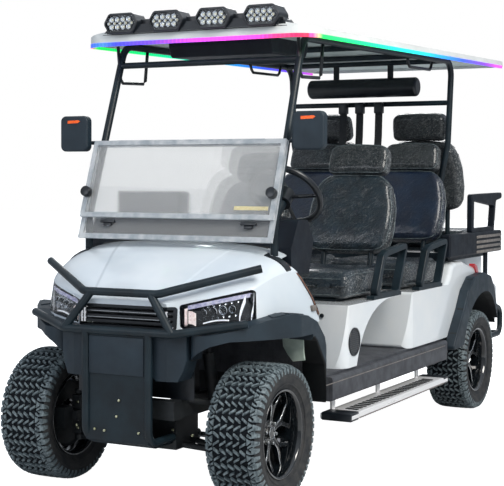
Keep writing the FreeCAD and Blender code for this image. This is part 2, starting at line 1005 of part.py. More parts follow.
def leaf_springs():
    """Arched leaf packs under the rear axle, shackled to the rails."""
    y = rear_axle_y
    low = axle_z - rear_tube_radius + sheet
    outline_out = Part.Arc(
        V(0, y - leaf_half_length, rail_low_z - leaf_eye),
        V(0, y, low - leaf_thick),
        V(0, y + leaf_half_length, rail_low_z - leaf_eye),
    ).toShape()
    outline_in = Part.Arc(
        V(0, y + leaf_half_length, rail_low_z - leaf_eye + leaf_thick),
        V(0, y, low),
        V(0, y - leaf_half_length, rail_low_z - leaf_eye + leaf_thick),
    ).toShape()
    ends = [
        Part.LineSegment(outline_out.Vertexes[-1].Point, outline_in.Vertexes[0].Point).toShape(),
        Part.LineSegment(outline_in.Vertexes[-1].Point, outline_out.Vertexes[0].Point).toShape(),
    ]
    wire = Part.Wire([outline_out, ends[0], outline_in, ends[1]])
    leaf = Part.Face(wire).extrude(V(leaf_width, 0, 0))
    leaf.translate(V(rail_x - leaf_width / 2, 0, 0))
    pieces = [leaf]
    for way in (-1, 1):
        place = y + way * (leaf_half_length - leaf_eye)
        pieces.append(block(rail_x - leaf_width / 2, rail_x + leaf_width / 2, place - leaf_eye / 2,
                place + leaf_eye / 2, rail_low_z - leaf_eye, rail_low_z))
    return pair(joined(pieces))


def steering_column():
    """The column tube from the floor to just below the steering wheel."""
    low = column_low()
    high = column_high()
    body = rod(low, high, column_radius)
    bore = rod(low, high.add(column_way() * overrun), column_shaft + running_gap)
    return body.cut(bore)


def column_way():
    angle = math.radians(column_rise)
    return V(0, math.cos(angle), math.sin(angle))


def column_high():
    return V(wheel_x, from_front(wheel_reach), wheel_z).sub(column_way() * wheel_hub_depth)


def column_low():
    way = column_way()
    high = column_high()
    drop = (high.y - from_front(hood_rear_reach) - column_radius - sheet) / way.y
    return high.sub(way * drop)


def steering_wheel():
    way = column_way()
    centre = V(wheel_x, from_front(wheel_reach), wheel_z)
    rim_body = Part.makeTorus(wheel_ring, wheel_grip, centre, way)
    hub_low = centre.sub(way * (wheel_hub_depth - fit_gap))
    hub_body = rod(hub_low, centre.add(way * wheel_grip), wheel_hub_radius)
    shaft = rod(hub_low.sub(way * wheel_shaft_length), hub_low, column_shaft)
    pieces = [rim_body, hub_body, shaft]
    for angle in wheel_spoke_angles:
        turn = math.radians(angle)
        up = way.cross(V(1, 0, 0))
        out = V(1, 0, 0) * math.cos(turn) + up * math.sin(turn)
        start = centre.sub(way * wheel_grip)
        pieces.append(rod(start, centre.add(out * wheel_ring), wheel_spoke_radius))
    return joined(pieces)


def floor_pan():
    """Tread plate with a toe board that clears the front wheels, and the rockers under its edges."""
    low = floor_top_z - floor_thick
    well = from_front(well_rear_reach)
    wall = from_front(hood_rear_reach) + fit_gap
    rear = from_rear(-arch_radius - outrigger_width * 3)
    profile = [
        (rear, low),
        (rear, floor_top_z),
        (well + floor_thick * 2, floor_top_z),
        (well + floor_thick, well_top_z + floor_thick / 2),
        (wall + floor_thick, well_top_z + (well - wall) * well_slope_share),
        (wall + floor_thick, dash_low_z),
        (wall, dash_low_z),
        (wall, well_top_z + (well - wall) * well_slope_share - floor_thick / 2),
        (well, well_top_z),
        (well + floor_thick, low),
    ]
    pan = side_prism(profile, -floor_half, floor_half)
    notch = block(
        flare_inner - fit_gap,
        floor_half + overrun,
        wall - overrun,
        from_front(flare_leg_outer_reach) + fit_gap,
        low - overrun,
        dash_low_z + overrun,
    )
    return joined([cut_all(pan, pair(notch))] + rockers())


def rockers():
    body = block(
        rocker_outer - rocker_width,
        rocker_outer,
        from_front(rocker_front_reach),
        from_rear(-rear_flare_front) - fit_gap,
        rocker_low_z,
        floor_top_z - floor_thick,
    )
    body = body.makeFillet(rocker_width / 4,
            [e for e in body.Edges if abs(e.tangentAt(e.FirstParameter).y) > 0.9])
    return pair(body)


def running_boards():
    y0 = from_front(board_front_reach)
    y1 = y0 + board_length
    low = board_top_z - board_thick
    body = block(board_inner, board_outer, y0, y1, low, board_top_z)
    body = body.makeFillet(board_thick / 3,
            [e for e in body.Edges if abs(e.tangentAt(e.FirstParameter).y) > 0.9])
    pieces = [body]
    hanger = rocker_outer - rocker_width
    for share in bracket_shares:
        y = y0 + board_length * share
        pieces.append(block(hanger, hanger + sheet * 2, y, y + board_bracket, board_top_z - sheet,
                rocker_low_z))
    return pair(joined(pieces))


def hood_section(place, half, shoulder_z, crown_z, low_z):
    """A closed cross-section of the hood: flat foot, leaning sides and a crowned top."""
    foot = V(half, place, low_z)
    shoulder = V(half * hood_shoulder_share, place, shoulder_z)
    left = mirrored_point(foot)
    left_shoulder = mirrored_point(shoulder)
    over = V(half * hood_over_share, place, shoulder_z + (crown_z - shoulder_z) * hood_over_rise_share)
    knee = V(half * hood_knee_share, place, crown_z)
    top = V(0, place, crown_z)
    right_arc = Part.BezierCurve()
    right_arc.setPoles([shoulder, over, knee, top])
    left_arc = Part.BezierCurve()
    left_arc.setPoles([top, mirrored_point(knee), mirrored_point(over), left_shoulder])
    edges = [
        Part.LineSegment(left, foot).toShape(),
        Part.LineSegment(foot, shoulder).toShape(),
        right_arc.toShape(),
        left_arc.toShape(),
        Part.LineSegment(left_shoulder, left).toShape(),
    ]
    return Part.Wire(edges)


def mirrored_point(point):
    return V(-point.x, point.y, point.z)


def hood_form(inset):
    """The hood's outer form, or a smaller one inside it when inset is more than zero."""
    span = hood_rear_reach - hood_front_reach
    rise = hood_rear_z - hood_front_z
    wires = []
    for along, wide, shoulder, crown in hood_shares:
        place = from_front(hood_front_reach + span * along)
        if along == 0:
            place = place + inset
        if along == 1:
            place = from_front(cowl_rear_reach)
        low = hood_low_z - inset
        wires.append(
            hood_section(
                place,
                hood_half * wide - inset,
                hood_low_z + (hood_front_z - hood_low_z) + rise * shoulder - inset,
                hood_front_z + rise * crown - inset,
                low,
            )
        )
    return Part.makeLoft(wires, True, False, False, hood_loft_degree)


def cowl_cut():
    """What is cut from the hood's rear: all of it between the posts, and behind a slanted line at its sides."""
    rear = from_front(hood_rear_reach)
    middle = block(-cowl_half, cowl_half, rear, rear + vehicle_length, 0, vehicle_length)
    line = [(from_front(reach), z) for reach, z in cowl_points]
    far = from_front(cowl_rear_reach) + vehicle_length
    outline = [(line[0][0], vehicle_length)] + line + [(line[-1][0], 0), (far, 0), (far, vehicle_length)]
    return [middle, side_prism(outline, cowl_half, vehicle_length),
            side_prism(outline, -vehicle_length, -cowl_half)]


def lamp_prism(grow):
    """The slanted outline of the left headlight, carried back through the hood."""
    points = [(x + dx * grow, z + dz * grow) for (x, z), (dx, dz) in zip(lamp_corners, lamp_ways)]
    y0 = from_front(hood_front_reach) - overrun
    return front_prism(points, y0, from_front(lamp_rear_reach), lamp_round)


def grille_prism(grow):
    x = grille_half + grow
    points = [(-x, grille_low_z - grow), (x, grille_low_z - grow), (x, grille_high_z + grow),
            (-x, grille_high_z + grow)]
    y0 = from_front(hood_front_reach) - overrun
    return front_prism(points, y0, from_front(grille_rear_reach), lamp_round)


def hood(outer, inner):
    """The hood shell, open below, cut away where the flares, the lamps, the grille and the posts pass."""
    shell = cut_all(outer.cut(inner), cowl_cut())
    lamp = lamp_prism(fit_gap * 3)
    post = rod(
        V(post_foot_x, from_front(post_foot_reach), post_foot_z),
        V(post_foot_x, from_front(post_foot_reach), post_bend_z),
        post_radius + fit_gap,
    )
    whole = cut_all(shell, [lamp, mirrored(lamp), grille_prism(fit_gap * 3), post, mirrored(post)])
    return max(whole.Solids, key=lambda solid: solid.Volume)


def headlights(outer, inner):
    lamp = lamp_prism(0)
    lens = lamp.common(outer).cut(inner)
    return pair(lens)


def lamp_housings(inner, deep):
    lamp = lamp_prism(-sheet)
    body = lamp.common(inner).cut(deep)
    return pair(body)


def grille(outer, deep):
    body = grille_prism(0).common(outer).cut(deep)
    slots = []
    height = (grille_high_z - grille_low_z) / (grille_bars * 2 + 1)
    for i in range(grille_bars):
        z = grille_low_z + height * (2 * i + 1)
        slots.append(block(-grille_half + grille_frame, grille_half - grille_frame,
                from_front(hood_front_reach) - overrun, from_front(grille_rear_reach) + overrun, z,
                z + height))
    return cut_all(body, slots)


def bumper_form(inset):
    """The bumper's outer form with its two low lobes, or a smaller one inside it."""
    front = from_front(bumper_front_reach)
    back = front + bumper_depth
    plan = [
        (-bumper_half, front + bumper_sweep),
        (-bumper_half * bumper_flat_share, front),
        (bumper_half * bumper_flat_share, front),
        (bumper_half, front + bumper_sweep),
        (bumper_half, back),
        (-bumper_half, back),
    ]
    top = hood_low_z - fit_gap
    face = list(bumper_lobes)
    face = face + [(bumper_half, top), (-bumper_half, top)]
    face = face + [(-x, z) for x, z in reversed(bumper_lobes)][:-1]
    if inset:
        plan = list(shrunk(plan, inset))
        plan[4] = (plan[4][0], back + overrun)
        plan[5] = (plan[5][0], back + overrun)
        face = shrunk(face, inset)
    low = bumper_low_z - overrun * 2
    body = plan_prism(plan, low, hood_low_z)
    return body.common(front_prism(face, front - overrun, back + overrun * 2))


def bumper():
    """The deep black bumper with sides that sweep back, open behind."""
    return bumper_form(0).cut(bumper_form(sheet))


def wing_form(inset):
    """The left front wing as a solid form: swept back in plan, with a leg behind the wheel."""
    y = front_axle_y
    plan = [(px, y + reach) for px, reach in wing_plan]
    side = [(y + reach, z) for reach, z in wing_side]
    if inset:
        body = plan_prism(shrunk(plan, inset), 0, vehicle_length, wing_corner)
        return body.common(side_prism(shrunk(side, inset), 0, flare_outer - inset, flare_round))
    body = plan_prism(plan, 0, vehicle_length, wing_corner)
    face = front_prism(wing_front, y - vehicle_length, y + vehicle_length)
    rims = soft_side_prism(side, 0, flare_outer, flare_round, flare_edge, [flare_outer])
    leg_room = block(
        0,
        flare_inner,
        from_front(wing_side[2][0]) - flare_round,
        y + vehicle_length,
        0,
        vehicle_length,
    )
    leg_room = leg_room.cut(block(0, vehicle_length, y - vehicle_length, y + vehicle_length,
            flare_low_z, vehicle_length))
    low_front = block(0, vehicle_length, y - vehicle_length, from_front(wing_side[2][0]), 0, flare_low_z)
    low_front = low_front.cut(face)
    return cut_all(body.common(rims), [leg_room, low_front])


def front_flare(hood_solid):
    """The left front flare as a moulding with a real wall, open towards the wheel."""
    solid = wing_form(0)
    y = front_axle_y
    hollow = wing_form(flare_wall)
    open_low = block(
        bumper_half + flare_wall * 2,
        flare_outer - flare_wall,
        y - vehicle_length,
        y + vehicle_length,
        0,
        flare_low_z + flare_wall,
    )
    low_hollow = plan_prism(
        shrunk([(px, y + reach) for px, reach in wing_plan],
                flare_wall), 0, flare_low_z + flare_wall * 2, wing_corner
    )
    front_part = block(0, vehicle_length, y - vehicle_length, from_front(wing_side[2][0]), 0,
            vehicle_length)
    shell = solid.cut(hollow.common(front_part)).cut(open_low.common(low_hollow).common(front_part))
    inner_x = block(0, wing_inner_x, from_front(flare_front_reach) + bumper_depth,
            y + vehicle_length, 0, vehicle_length)
    shell = shell.cut(inner_x).cut(hood_solid)
    return max(shell.Solids, key=lambda one: one.Volume)


def brush_guard():
    """Bent tubes over the nose: two bars a side, two diagonals and two uprights."""
    pieces = []
    for side in (-1, 1):
        top_end = V(side * guard_top_end[0], from_front(guard_top_end[1]), guard_top_end[2])
        top_in = V(side * guard_top_corner[0], from_front(guard_top_corner[1]), guard_top_corner[2])
        low_end = V(side * guard_low_end[0], from_front(guard_low_end[1]), guard_low_end[2])
        low_in = V(side * guard_low_corner[0], from_front(guard_low_corner[1]), guard_low_corner[2])
        up_top = V(side * guard_upright_x, from_front(guard_low_corner[1]), guard_low_corner[2])
        up_low = V(side * guard_upright_x, from_front(guard_low_corner[1]), guard_foot_z)
        foot = V(side * guard_upright_x, from_front(-subframe_half_y), guard_foot_z)
        pieces.append(tube([top_end, top_in, V(0, top_in.y, top_in.z)], guard_tube, guard_bend))
        pieces.append(tube([low_end, low_in, V(0, low_in.y, low_in.z)], guard_tube, guard_bend))
        pieces.append(rod(V(top_in.x * guard_brace_share, top_in.y, top_in.z), low_in, guard_tube))
        pieces.append(tube([up_top, up_low, foot], guard_tube, guard_bend))
    return joined(pieces + guard_plate())


def guard_plate():
    """The blank plate panel between the uprights and the skid plate below it."""
    y = from_front(guard_low_corner[1])
    half = guard_upright_x
    panel = block(-half, half, y - sheet / 2, y + sheet / 2, plate_low_z, guard_low_corner[2])
    rear = from_front(-subframe_half_y)
    skid = side_prism(
        [
            (y, plate_low_z - sheet * 2),
            (y + sheet, plate_low_z - sheet * 2),
            (y + sheet, guard_foot_z + sheet),
            (y + skid_run, skid_low_z + sheet),
            (rear, skid_low_z + sheet),
            (rear, skid_low_z),
            (y + skid_run, skid_low_z),
            (y, guard_foot_z),
        ],
        -half,
        half,
    )
    return [panel, skid]


def post_place(z):
    """The Y place of the front post's axis at a height."""
    return from_front(post_foot_reach) + max(0.0, (z - post_bend_z) * post_lean)


def canopy_frame():
    """Front posts, roof rails and rear posts as one bent tube a side, with cross tubes."""
    pieces = []
    rear_y = from_rear(rear_post_reach)
    front_z = roof_edge_z(post_place(roof_edge_front_z))
    front_y = post_place(front_z)
    rear_z = roof_edge_z(rear_y)
    for side in (-1, 1):
        points = [
            V(side * post_foot_x, from_front(hood_rear_reach) + fit_gap, post_foot_z),
            V(side * post_foot_x, from_front(post_foot_reach), post_foot_z),
            V(side * post_foot_x, from_front(post_foot_reach), post_bend_z),
            V(side * post_top_x, front_y, front_z),
            V(side * roof_rail_rear_x, rear_y, rear_z),
            V(side * (roof_rail_rear_x - post_radius), rear_y, rear_post_waist_z),
            V(side * rear_post_low_x, rear_y, rear_post_knee_z),
            V(side * rear_post_low_x, rear_y, seat_box_top_z),
        ]
        pieces.append(tube(points, post_radius, post_bend))
    cross_y = post_place(cross_tube_z)
    pieces.append(rod(V(-post_top_x, cross_y, cross_tube_z), V(post_top_x, cross_y, cross_tube_z),
            post_radius * cross_tube_share))
    rear_x = roof_rail_rear_x - post_radius
    pieces.append(rod(V(-rear_x, rear_y, belt_bar_z), V(rear_x, rear_y, belt_bar_z),
            post_radius * cross_tube_share))
    for share in roof_cross_shares:
        y = front_y + (rear_y - front_y) * share
        z = front_z + (rear_z - front_z) * share
        x = post_top_x + (roof_rail_rear_x - post_top_x) * share
        pieces.append(rod(V(-x, y, z), V(x, y, z), post_radius * cross_tube_share))
    return joined(pieces)


def roof_edge_z(y):
    """The height of the roof's lower edge, which climbs towards the rear."""
    share = (y - from_front(roof_front_reach)) / (from_rear(roof_rear_reach) - from_front(roof_front_reach))
    return roof_edge_front_z + (roof_edge_rear_z - roof_edge_front_z) * share


def roof_section(place, half, base, side, crown):
    low_l = V(-half, place, base)
    low_r = V(half, place, base)
    top_r = V(half - side / 2, place, base + side)
    top_l = V(-half + side / 2, place, base + side)
    top = V(0, place, base + crown)
    edges = [
        Part.LineSegment(low_l, low_r).toShape(),
        Part.LineSegment(low_r, top_r).toShape(),
        Part.Arc(top_r, top, top_l).toShape(),
        Part.LineSegment(top_l, low_l).toShape(),
    ]
    return Part.Wire(edges)


def roof_form(inset):
    """The roof's crowned form, with rounded corners in plan and rounded ends in profile."""
    front = from_front(roof_front_reach)
    rear = from_rear(roof_rear_reach)
    wires = []
    for place, half, base in (
        (front, roof_half_front, roof_edge_front_z),
        (rear, roof_half_rear, roof_edge_rear_z),
    ):
        low = overrun if inset else 0
        wires.append(
            roof_section(place, half - inset, base - low, roof_side - inset + low, roof_crown - inset + low)
        )
    arch = Part.makeLoft(wires, True, True)
    plan = plan_prism(
        [
            (-roof_half_front + inset, front + inset),
            (roof_half_front - inset, front + inset),
            (roof_half_rear - inset, rear - inset),
            (-roof_half_rear + inset, rear - inset),
        ],
        0,
        roof_edge_rear_z + roof_crown * 2,
        roof_corner - inset,
    )
    profile = side_prism(
        [
            (front + inset, roof_edge_front_z - roof_crown),
            (front + inset, roof_edge_front_z + roof_crown - inset),
            (rear - inset, roof_edge_rear_z + roof_crown - inset),
            (rear - inset, roof_edge_front_z - roof_crown),
        ],
        -vehicle_length,
        vehicle_length,
        roof_brow - inset,
    )
    return arch.common(plan).common(profile)


def roof():
    return roof_form(0).cut(roof_form(sheet))


def roof_liner():
    """The flat moulded ceiling inside the roof's rim."""
    inside = roof_form(sheet + fit_gap)
    front = from_front(roof_front_reach)
    rear = from_rear(roof_rear_reach)
    liner_rise = post_radius + fit_gap
    slab = side_prism(
        [
            (front, roof_edge_front_z + liner_rise),
            (rear, roof_edge_rear_z + liner_rise),
            (rear, roof_edge_rear_z + liner_rise + sheet),
            (front, roof_edge_front_z + liner_rise + sheet),
        ],
        -vehicle_length,
        vehicle_length,
    )
    return inside.common(slab)


def screen_point(z, offset):
    """A place on the windshield's plane, moved forward from the posts by the offset."""
    lean = math.atan(post_lean)
    y = from_front(post_foot_reach) + (z - post_bend_z) * post_lean
    return V(0, y - offset * math.cos(lean), z + offset * math.sin(lean))


def screen_panel(low_z, high_z, offset, half, thick):
    lean = math.atan(post_lean)
    low = screen_point(low_z, offset)
    high = screen_point(high_z, offset)
    out = V(0, -math.cos(lean), math.sin(lean)) * (thick / 2)
    corners = [low.sub(out), low.add(out), high.add(out), high.sub(out)]
    moved = [V(-half, p.y, p.z) for p in corners]
    return Part.Face(Part.makePolygon(moved + [moved[0]])).extrude(V(half * 2, 0, 0))


def screen_frame(low_z, high_z, offset):
    outer = screen_panel(low_z, high_z, offset, glass_half, screen_thick)
    drop = glass_frame * math.cos(math.atan(post_lean))
    inner = screen_panel(low_z + drop, high_z - drop, offset, glass_half - glass_frame, glass_frame * 2)
    return outer.cut(inner)


def screen_glass(low_z, high_z, offset):
    drop = glass_frame * math.cos(math.atan(post_lean))
    return screen_panel(low_z + drop, high_z - drop, offset, glass_half - glass_frame, glass_thick)


def seat_cushion(y0, z0, x_centre):
    return soft_box(x_centre - seat_width / 2, x_centre + seat_width / 2, y0, y0 + cushion_depth,
            z0, z0 + cushion_thick, cushion_round)


def seat_back(low_y, low_z, way, x_centre):
    """A backrest and headrest, leaning back by a lean that is positive towards the rear."""
    height = back_top_z - back_low_z
    right = [(x_centre + back_width * wide, height * rise) for wide, rise in back_outline]
    left = [(x_centre - back_width * wide, height * rise) for wide, rise in reversed(back_outline)]
    back = soft_front_prism(right + left, 0, back_thick, back_round, back_edge, [0, back_thick])
    half = headrest_width / 2
    top = height + headrest_height
    corners = [(x_centre - half, height - overrun), (x_centre + half, height - overrun),
            (x_centre + half, top), (x_centre - half, top)]
    head = soft_front_prism(corners, 0, headrest_thick, headrest_round, headrest_edge, [0, headrest_thick])
    whole = joined([back, head])
    lean = math.degrees(math.atan(back_lean))
    if way < 0:
        lean = lean * rear_back_lean_share
    whole.rotate(V(0, 0, 0), V(1, 0, 0), -way * lean)
    whole.translate(V(0, low_y, low_z))
    return whole


def seat_frames():
    """Seat plates with posts up to the backrests, and the armrest hoops on the bases."""
    pieces = []
    for row in (0, 1):
        front = from_front(cushion_reach + seat_pitch * row)
        rear = from_front(back_low_reach + seat_pitch * row) + back_thick / 2
        foot_y = rear - back_thick / 2
        for x_centre in (-seat_x, seat_x):
            half = seat_width / 2 - cushion_round * 2 - seat_plate
            plate = block(x_centre - half, x_centre + half, front + cushion_round, foot_y,
                    base_top_z, base_top_z + seat_plate)
            posts = []
            for side in (-1, 1):
                x = x_centre + side * seat_post_x
                low = V(x, foot_y, base_top_z + seat_plate / 2)
                high = V(x, rear, back_low_z + row_rise * row + back_sink)
                posts.append(rod(low, high, seat_post_radius))
            one = joined([plate] + posts)
            one = one.cut(seat_back(from_front(back_low_reach + seat_pitch * row),
                    back_low_z + row_rise * row, 1, x_centre))
            pieces.append(one.cut(block(-vehicle_length, vehicle_length, -vehicle_length,
                    vehicle_length, 0, base_top_z)))
        pieces.extend(armrest(from_front(arm_front_reach + arm_pitch * row), base_top_z))
    for x_centre in (-seat_x, seat_x):
        for side in (-1, 1):
            x = x_centre + side * seat_post_x
            y = from_rear(rear_back_reach) + back_thick / 2
            post = rod(V(x, y, seat_box_top_z), V(x, y, rear_back_low_z + back_sink), seat_post_radius)
            pieces.append(post.cut(seat_back(from_rear(rear_back_reach), rear_back_low_z, -1, x_centre)))
    return pieces


def front_base():
    front = from_front(base_front_reach)
    top_rear = from_front(base_top_rear_reach)
    low_rear = front + base_low_length

    def outline(inset):
        low_a = V(0, front + inset, floor_top_z + inset)
        top_a = V(0, front + base_rake + inset, base_top_z - inset)
        top_b = V(0, top_rear - inset * 2, base_top_z - inset)
        low_b = V(0, low_rear - inset, floor_top_z + inset)
        span = top_rear - low_rear
        high_pole = V(0, low_rear + span * base_curve_high_share, base_top_z - inset)
        low_pole = V(
            0,
            low_rear + span * base_curve_low_share - inset,
            floor_top_z + (base_top_z - floor_top_z) * base_curve_rise_share,
        )
        curve = Part.BezierCurve()
        curve.setPoles([top_b, high_pole, low_pole, low_b])
        edges = [
            Part.LineSegment(low_b, low_a).toShape(),
            Part.LineSegment(low_a, top_a).toShape(),
            Part.LineSegment(top_a, top_b).toShape(),
            curve.toShape(),
        ]
        return Part.Face(Part.Wire(edges))

    outer = outline(0).extrude(V(base_half * 2, 0, 0))
    outer.translate(V(-base_half, 0, 0))
    outer = outer.common(plan_room(base_half, front, top_rear + base_corner, base_corner))
    half = base_half - sheet
    inner = outline(sheet).extrude(V(half * 2, 0, 0))
    inner.translate(V(-half, 0, 0))
    inner = inner.common(plan_room(half, front + sheet, top_rear + base_corner, base_corner - sheet))
    return outer.cut(inner)


def rear_profile(inset):
    front = from_front(rear_body_reach)
    tail = from_rear(rear_body_tail)
    return [
        (front + inset, floor_top_z + inset),
        (front + base_rake + inset, base_top_z - inset),
        (from_front(back_low_reach + seat_pitch) + base_rake / 2 + inset, base_top_z - inset),
        (from_rear(seat_box_front) + inset, rear_body_top_z - inset),
        (tail - inset, rear_body_top_z - inset),
        (tail - inset, floor_top_z + inset),
    ]


def low_profile(inset):
    """The part of the side outline below the seats' height."""
    front = from_front(rear_body_reach)
    rear = from_rear(fender_points[2][0])
    return [
        (front + inset, floor_top_z + inset),
        (front + base_rake + inset, base_top_z - inset),
        (rear + base_rake, base_top_z - inset),
        (rear + base_rake, floor_top_z + inset),
    ]


def rear_form(inset):
    """The rear body's form: a middle box, a full-width seat base and two full fenders."""
    front = from_front(rear_body_reach)
    tail = from_rear(rear_body_tail)
    middle = side_prism(rear_profile(inset), -deck_half + inset, deck_half - inset, base_round - inset)
    half = base_half - inset
    low = side_prism(low_profile(inset), -half, half, base_round - inset)
    low = low.common(plan_room(half, front + inset, tail, base_corner - inset))
    points = shrunk([(from_rear(reach), z) for reach, z in fender_points], inset)
    fender = soft_side_prism(points, fender_inner + inset, half, fender_round - inset,
            fender_edge - inset, [half])
    return joined([middle, low, fender, mirrored(fender)])


def rear_body():
    outer = rear_form(0)
    inner = rear_form(sheet)
    arches = []
    bays = []
    for side in (-1, 1):
        a = V(side * (half_track - tyre_width), rear_axle_y, axle_z)
        b = V(side * vehicle_length, rear_axle_y, axle_z)
        arches.append(rod(a, b, arch_radius))
        a_in = V(side * (half_track - tyre_width - sheet), rear_axle_y, axle_z)
        bays.append(rod(a_in, b, arch_radius + sheet))
    shell = outer.cut(cut_all(inner, bays))
    return cut_all(shell, arches)


def rear_flare():
    """The left rear flare, a rounded band that tapers in at its rear, with a dark liner inside the arch."""
    y = rear_axle_y
    points = [(y + dy, z) for dy, z in rear_flare_points]
    body = soft_side_prism(points, 0, flare_outer, flare_round, flare_edge, [flare_outer])
    plan = plan_prism([(base_half + dx, y + dy) for dx, dy in rear_flare_plan], 0, vehicle_length)
    band = body.common(plan)
    inner_x = half_track - tyre_width + liner_gap
    liner_radius = arch_radius - liner_gap
    liner = rod(V(inner_x, y, axle_z), V(base_half + flare_wall, y, axle_z), liner_radius)
    liner = liner.cut(rod(V(inner_x + flare_wall, y, axle_z), V(vehicle_length, y, axle_z),
            liner_radius - flare_wall))
    liner = liner.cut(block(0, vehicle_length, y - vehicle_length, y + vehicle_length,
            -vehicle_length, floor_top_z))
    lip = rod(V(0, y, axle_z), V(vehicle_length, y, axle_z), arch_radius - rear_flare_lip)
    band = band.cut(lip)
    return joined([band, liner])


def seat_box():
    """The dark box that carries the rear-facing seat."""
    body = block(-seat_box_half, seat_box_half, from_rear(seat_box_front), from_rear(seat_box_rear),
            rear_body_top_z, seat_box_top_z)
    return body.makeFillet(sheet, body.Edges)


def armrest(front_y, base_z):
    """A broad moulded hoop on the outer side of a seat, on its ribbed foot."""
    outline = [(front_y + dy, base_z + dz) for dy, dz in arm_outline]
    inner = shrunk(outline, arm_thick)
    rims = [arm_inner, arm_outer]
    ring = soft_side_prism(outline, arm_inner, arm_outer, arm_bend, arm_edge, rims)
    hole = side_prism(inner, arm_inner - overrun, arm_outer + overrun, arm_bend - arm_thick / 2)
    foot = block(
        arm_inner,
        arm_outer,
        front_y - arm_foot_proud,
        front_y + arm_outline[-1][0] + arm_foot_proud,
        base_z,
        base_z + arm_foot_rise,
    )
    foot = foot.makeFillet(arm_edge / 2, end_edges(foot, 2, [base_z + arm_foot_rise]))
    return pair(joined([ring.cut(hole), foot]))


def rear_armrests():
    """Long arm boxes beside the rear seat, ribbed at the rear, each with a broad grab hoop on top."""
    inner = seat_box_half + fit_gap
    outer = seat_box_half + rear_arm_width
    body = soft_box(
        inner,
        outer,
        from_front(rear_arm_front_reach),
        from_rear(rear_arm_rear),
        rear_arm_low_z,
        rear_arm_top_z,
        rear_arm_round,
    )
    grooves = []
    for z in rear_arm_grooves:
        grooves.append(
            block(
                outer - rear_arm_groove / 2,
                outer + overrun,
                from_rear(rear_arm_ribbed_reach),
                from_rear(rear_arm_rear) + overrun,
                z,
                z + rear_arm_groove,
            )
        )
    middle = (inner + outer) / 2
    half = rear_grab_thick / 2
    outline = [(from_rear(reach), z) for reach, z in rear_grab_points]
    ring = soft_side_prism(outline, middle - half, middle + half, rear_grab_bend, arm_edge,
            [middle - half, middle + half])
    hole = side_prism(shrunk(outline[:2] + outline[-2:], rear_grab_thick), 0, vehicle_length,
            rear_grab_bend / 2)
    ring = ring.cut(hole).cut(block(0, vehicle_length, -vehicle_length, vehicle_length, 0,
            rear_arm_top_z - rear_arm_round))
    strut_y = from_rear(rear_arm_rear) - rear_arm_width * 4
    strut = rod(V(middle, strut_y, rear_arm_low_z + rear_arm_round),
            V(middle, strut_y, fender_points[-2][1]), arm_edge * 2)
    strut = strut.cut(rear_form(0))
    return pair(joined([cut_all(body, grooves), ring, strut]))


def rear_step():
    """The rear bumper beam, the step's side tubes and plate, and the loop that the deck folds onto."""
    end = vehicle_length / 2 - guard_tube
    body_rear = from_rear(rear_body_tail) + fit_gap
    beam_y = from_rear(rail_rear_reach)
    half = footrest_half
    pieces = [block(-half, half, beam_y, beam_y + outrigger_width, rail_low_z, rail_high_z)]
    for side in (-1, 1):
        x = side * half
        points = [
            V(x, body_rear, footrest_root_z),
            V(x, end, footrest_knee_z),
            V(x, end, footrest_z),
            V(x, beam_y + outrigger_width / 2, footrest_z),
        ]
        pieces.append(tube(points, guard_tube, guard_bend))
    pieces.append(rod(V(-half, end, footrest_z), V(half, end, footrest_z), guard_tube))
    loop = [
        V(-half / 2, end, footrest_z),
        V(-half / 2, end, deck_rest_z),
        V(half / 2, end, deck_rest_z),
        V(half / 2, end, footrest_z),
    ]
    pieces.append(tube(loop, guard_tube, guard_bend))
    pieces.append(block(-half, half, beam_y + outrigger_width, end, footrest_z, footrest_z + sheet))
    bar_half = base_half - fender_edge
    bar_front = body_rear
    bar = plan_prism(
        [
            (-bar_half, bar_front),
            (bar_half, bar_front),
            (bar_half, bar_front + tail_bar_depth / 2),
            (bar_half - tail_bar_depth, bar_front + tail_bar_depth),
            (-bar_half + tail_bar_depth, bar_front + tail_bar_depth),
            (-bar_half, bar_front + tail_bar_depth / 2),
        ],
        tail_bar_low_z,
        tail_bar_high_z,
        tail_bar_round / 2,
    )
    pieces.append(bar)
    body_room = block(-vehicle_length, vehicle_length, -vehicle_length, body_rear, floor_top_z,
            vehicle_length)
    return joined(pieces).cut(body_room)


def rear_seat_cushion():
    """The rear seat's cushion on its deck plate, which turns over about its rear edge."""
    low = seat_box_top_z + fit_gap
    plate = block(
        -rear_cushion_half,
        rear_cushion_half,
        from_rear(rear_cushion_front),
        from_rear(rear_hinge_reach) - hinge_radius,
        low,
        low + seat_plate,
    )
    cushion = soft_box(
        -rear_cushion_half,
        rear_cushion_half,
        from_rear(rear_cushion_front),
        from_rear(rear_cushion_rear),
        low + seat_plate - fit_gap,
        low + seat_plate + rear_cushion_thick,
        cushion_round,
    )
    hinge_y = from_rear(rear_hinge_reach)
    barrel = rod(V(-hinge_half, hinge_y, low + hinge_radius),
            V(hinge_half, hinge_y, low + hinge_radius), hinge_radius)
    leaf = block(-hinge_half, hinge_half, hinge_y - hinge_radius * 2, hinge_y, low, low + hinge_radius)
    return [joined([plate, cushion, barrel, leaf])]


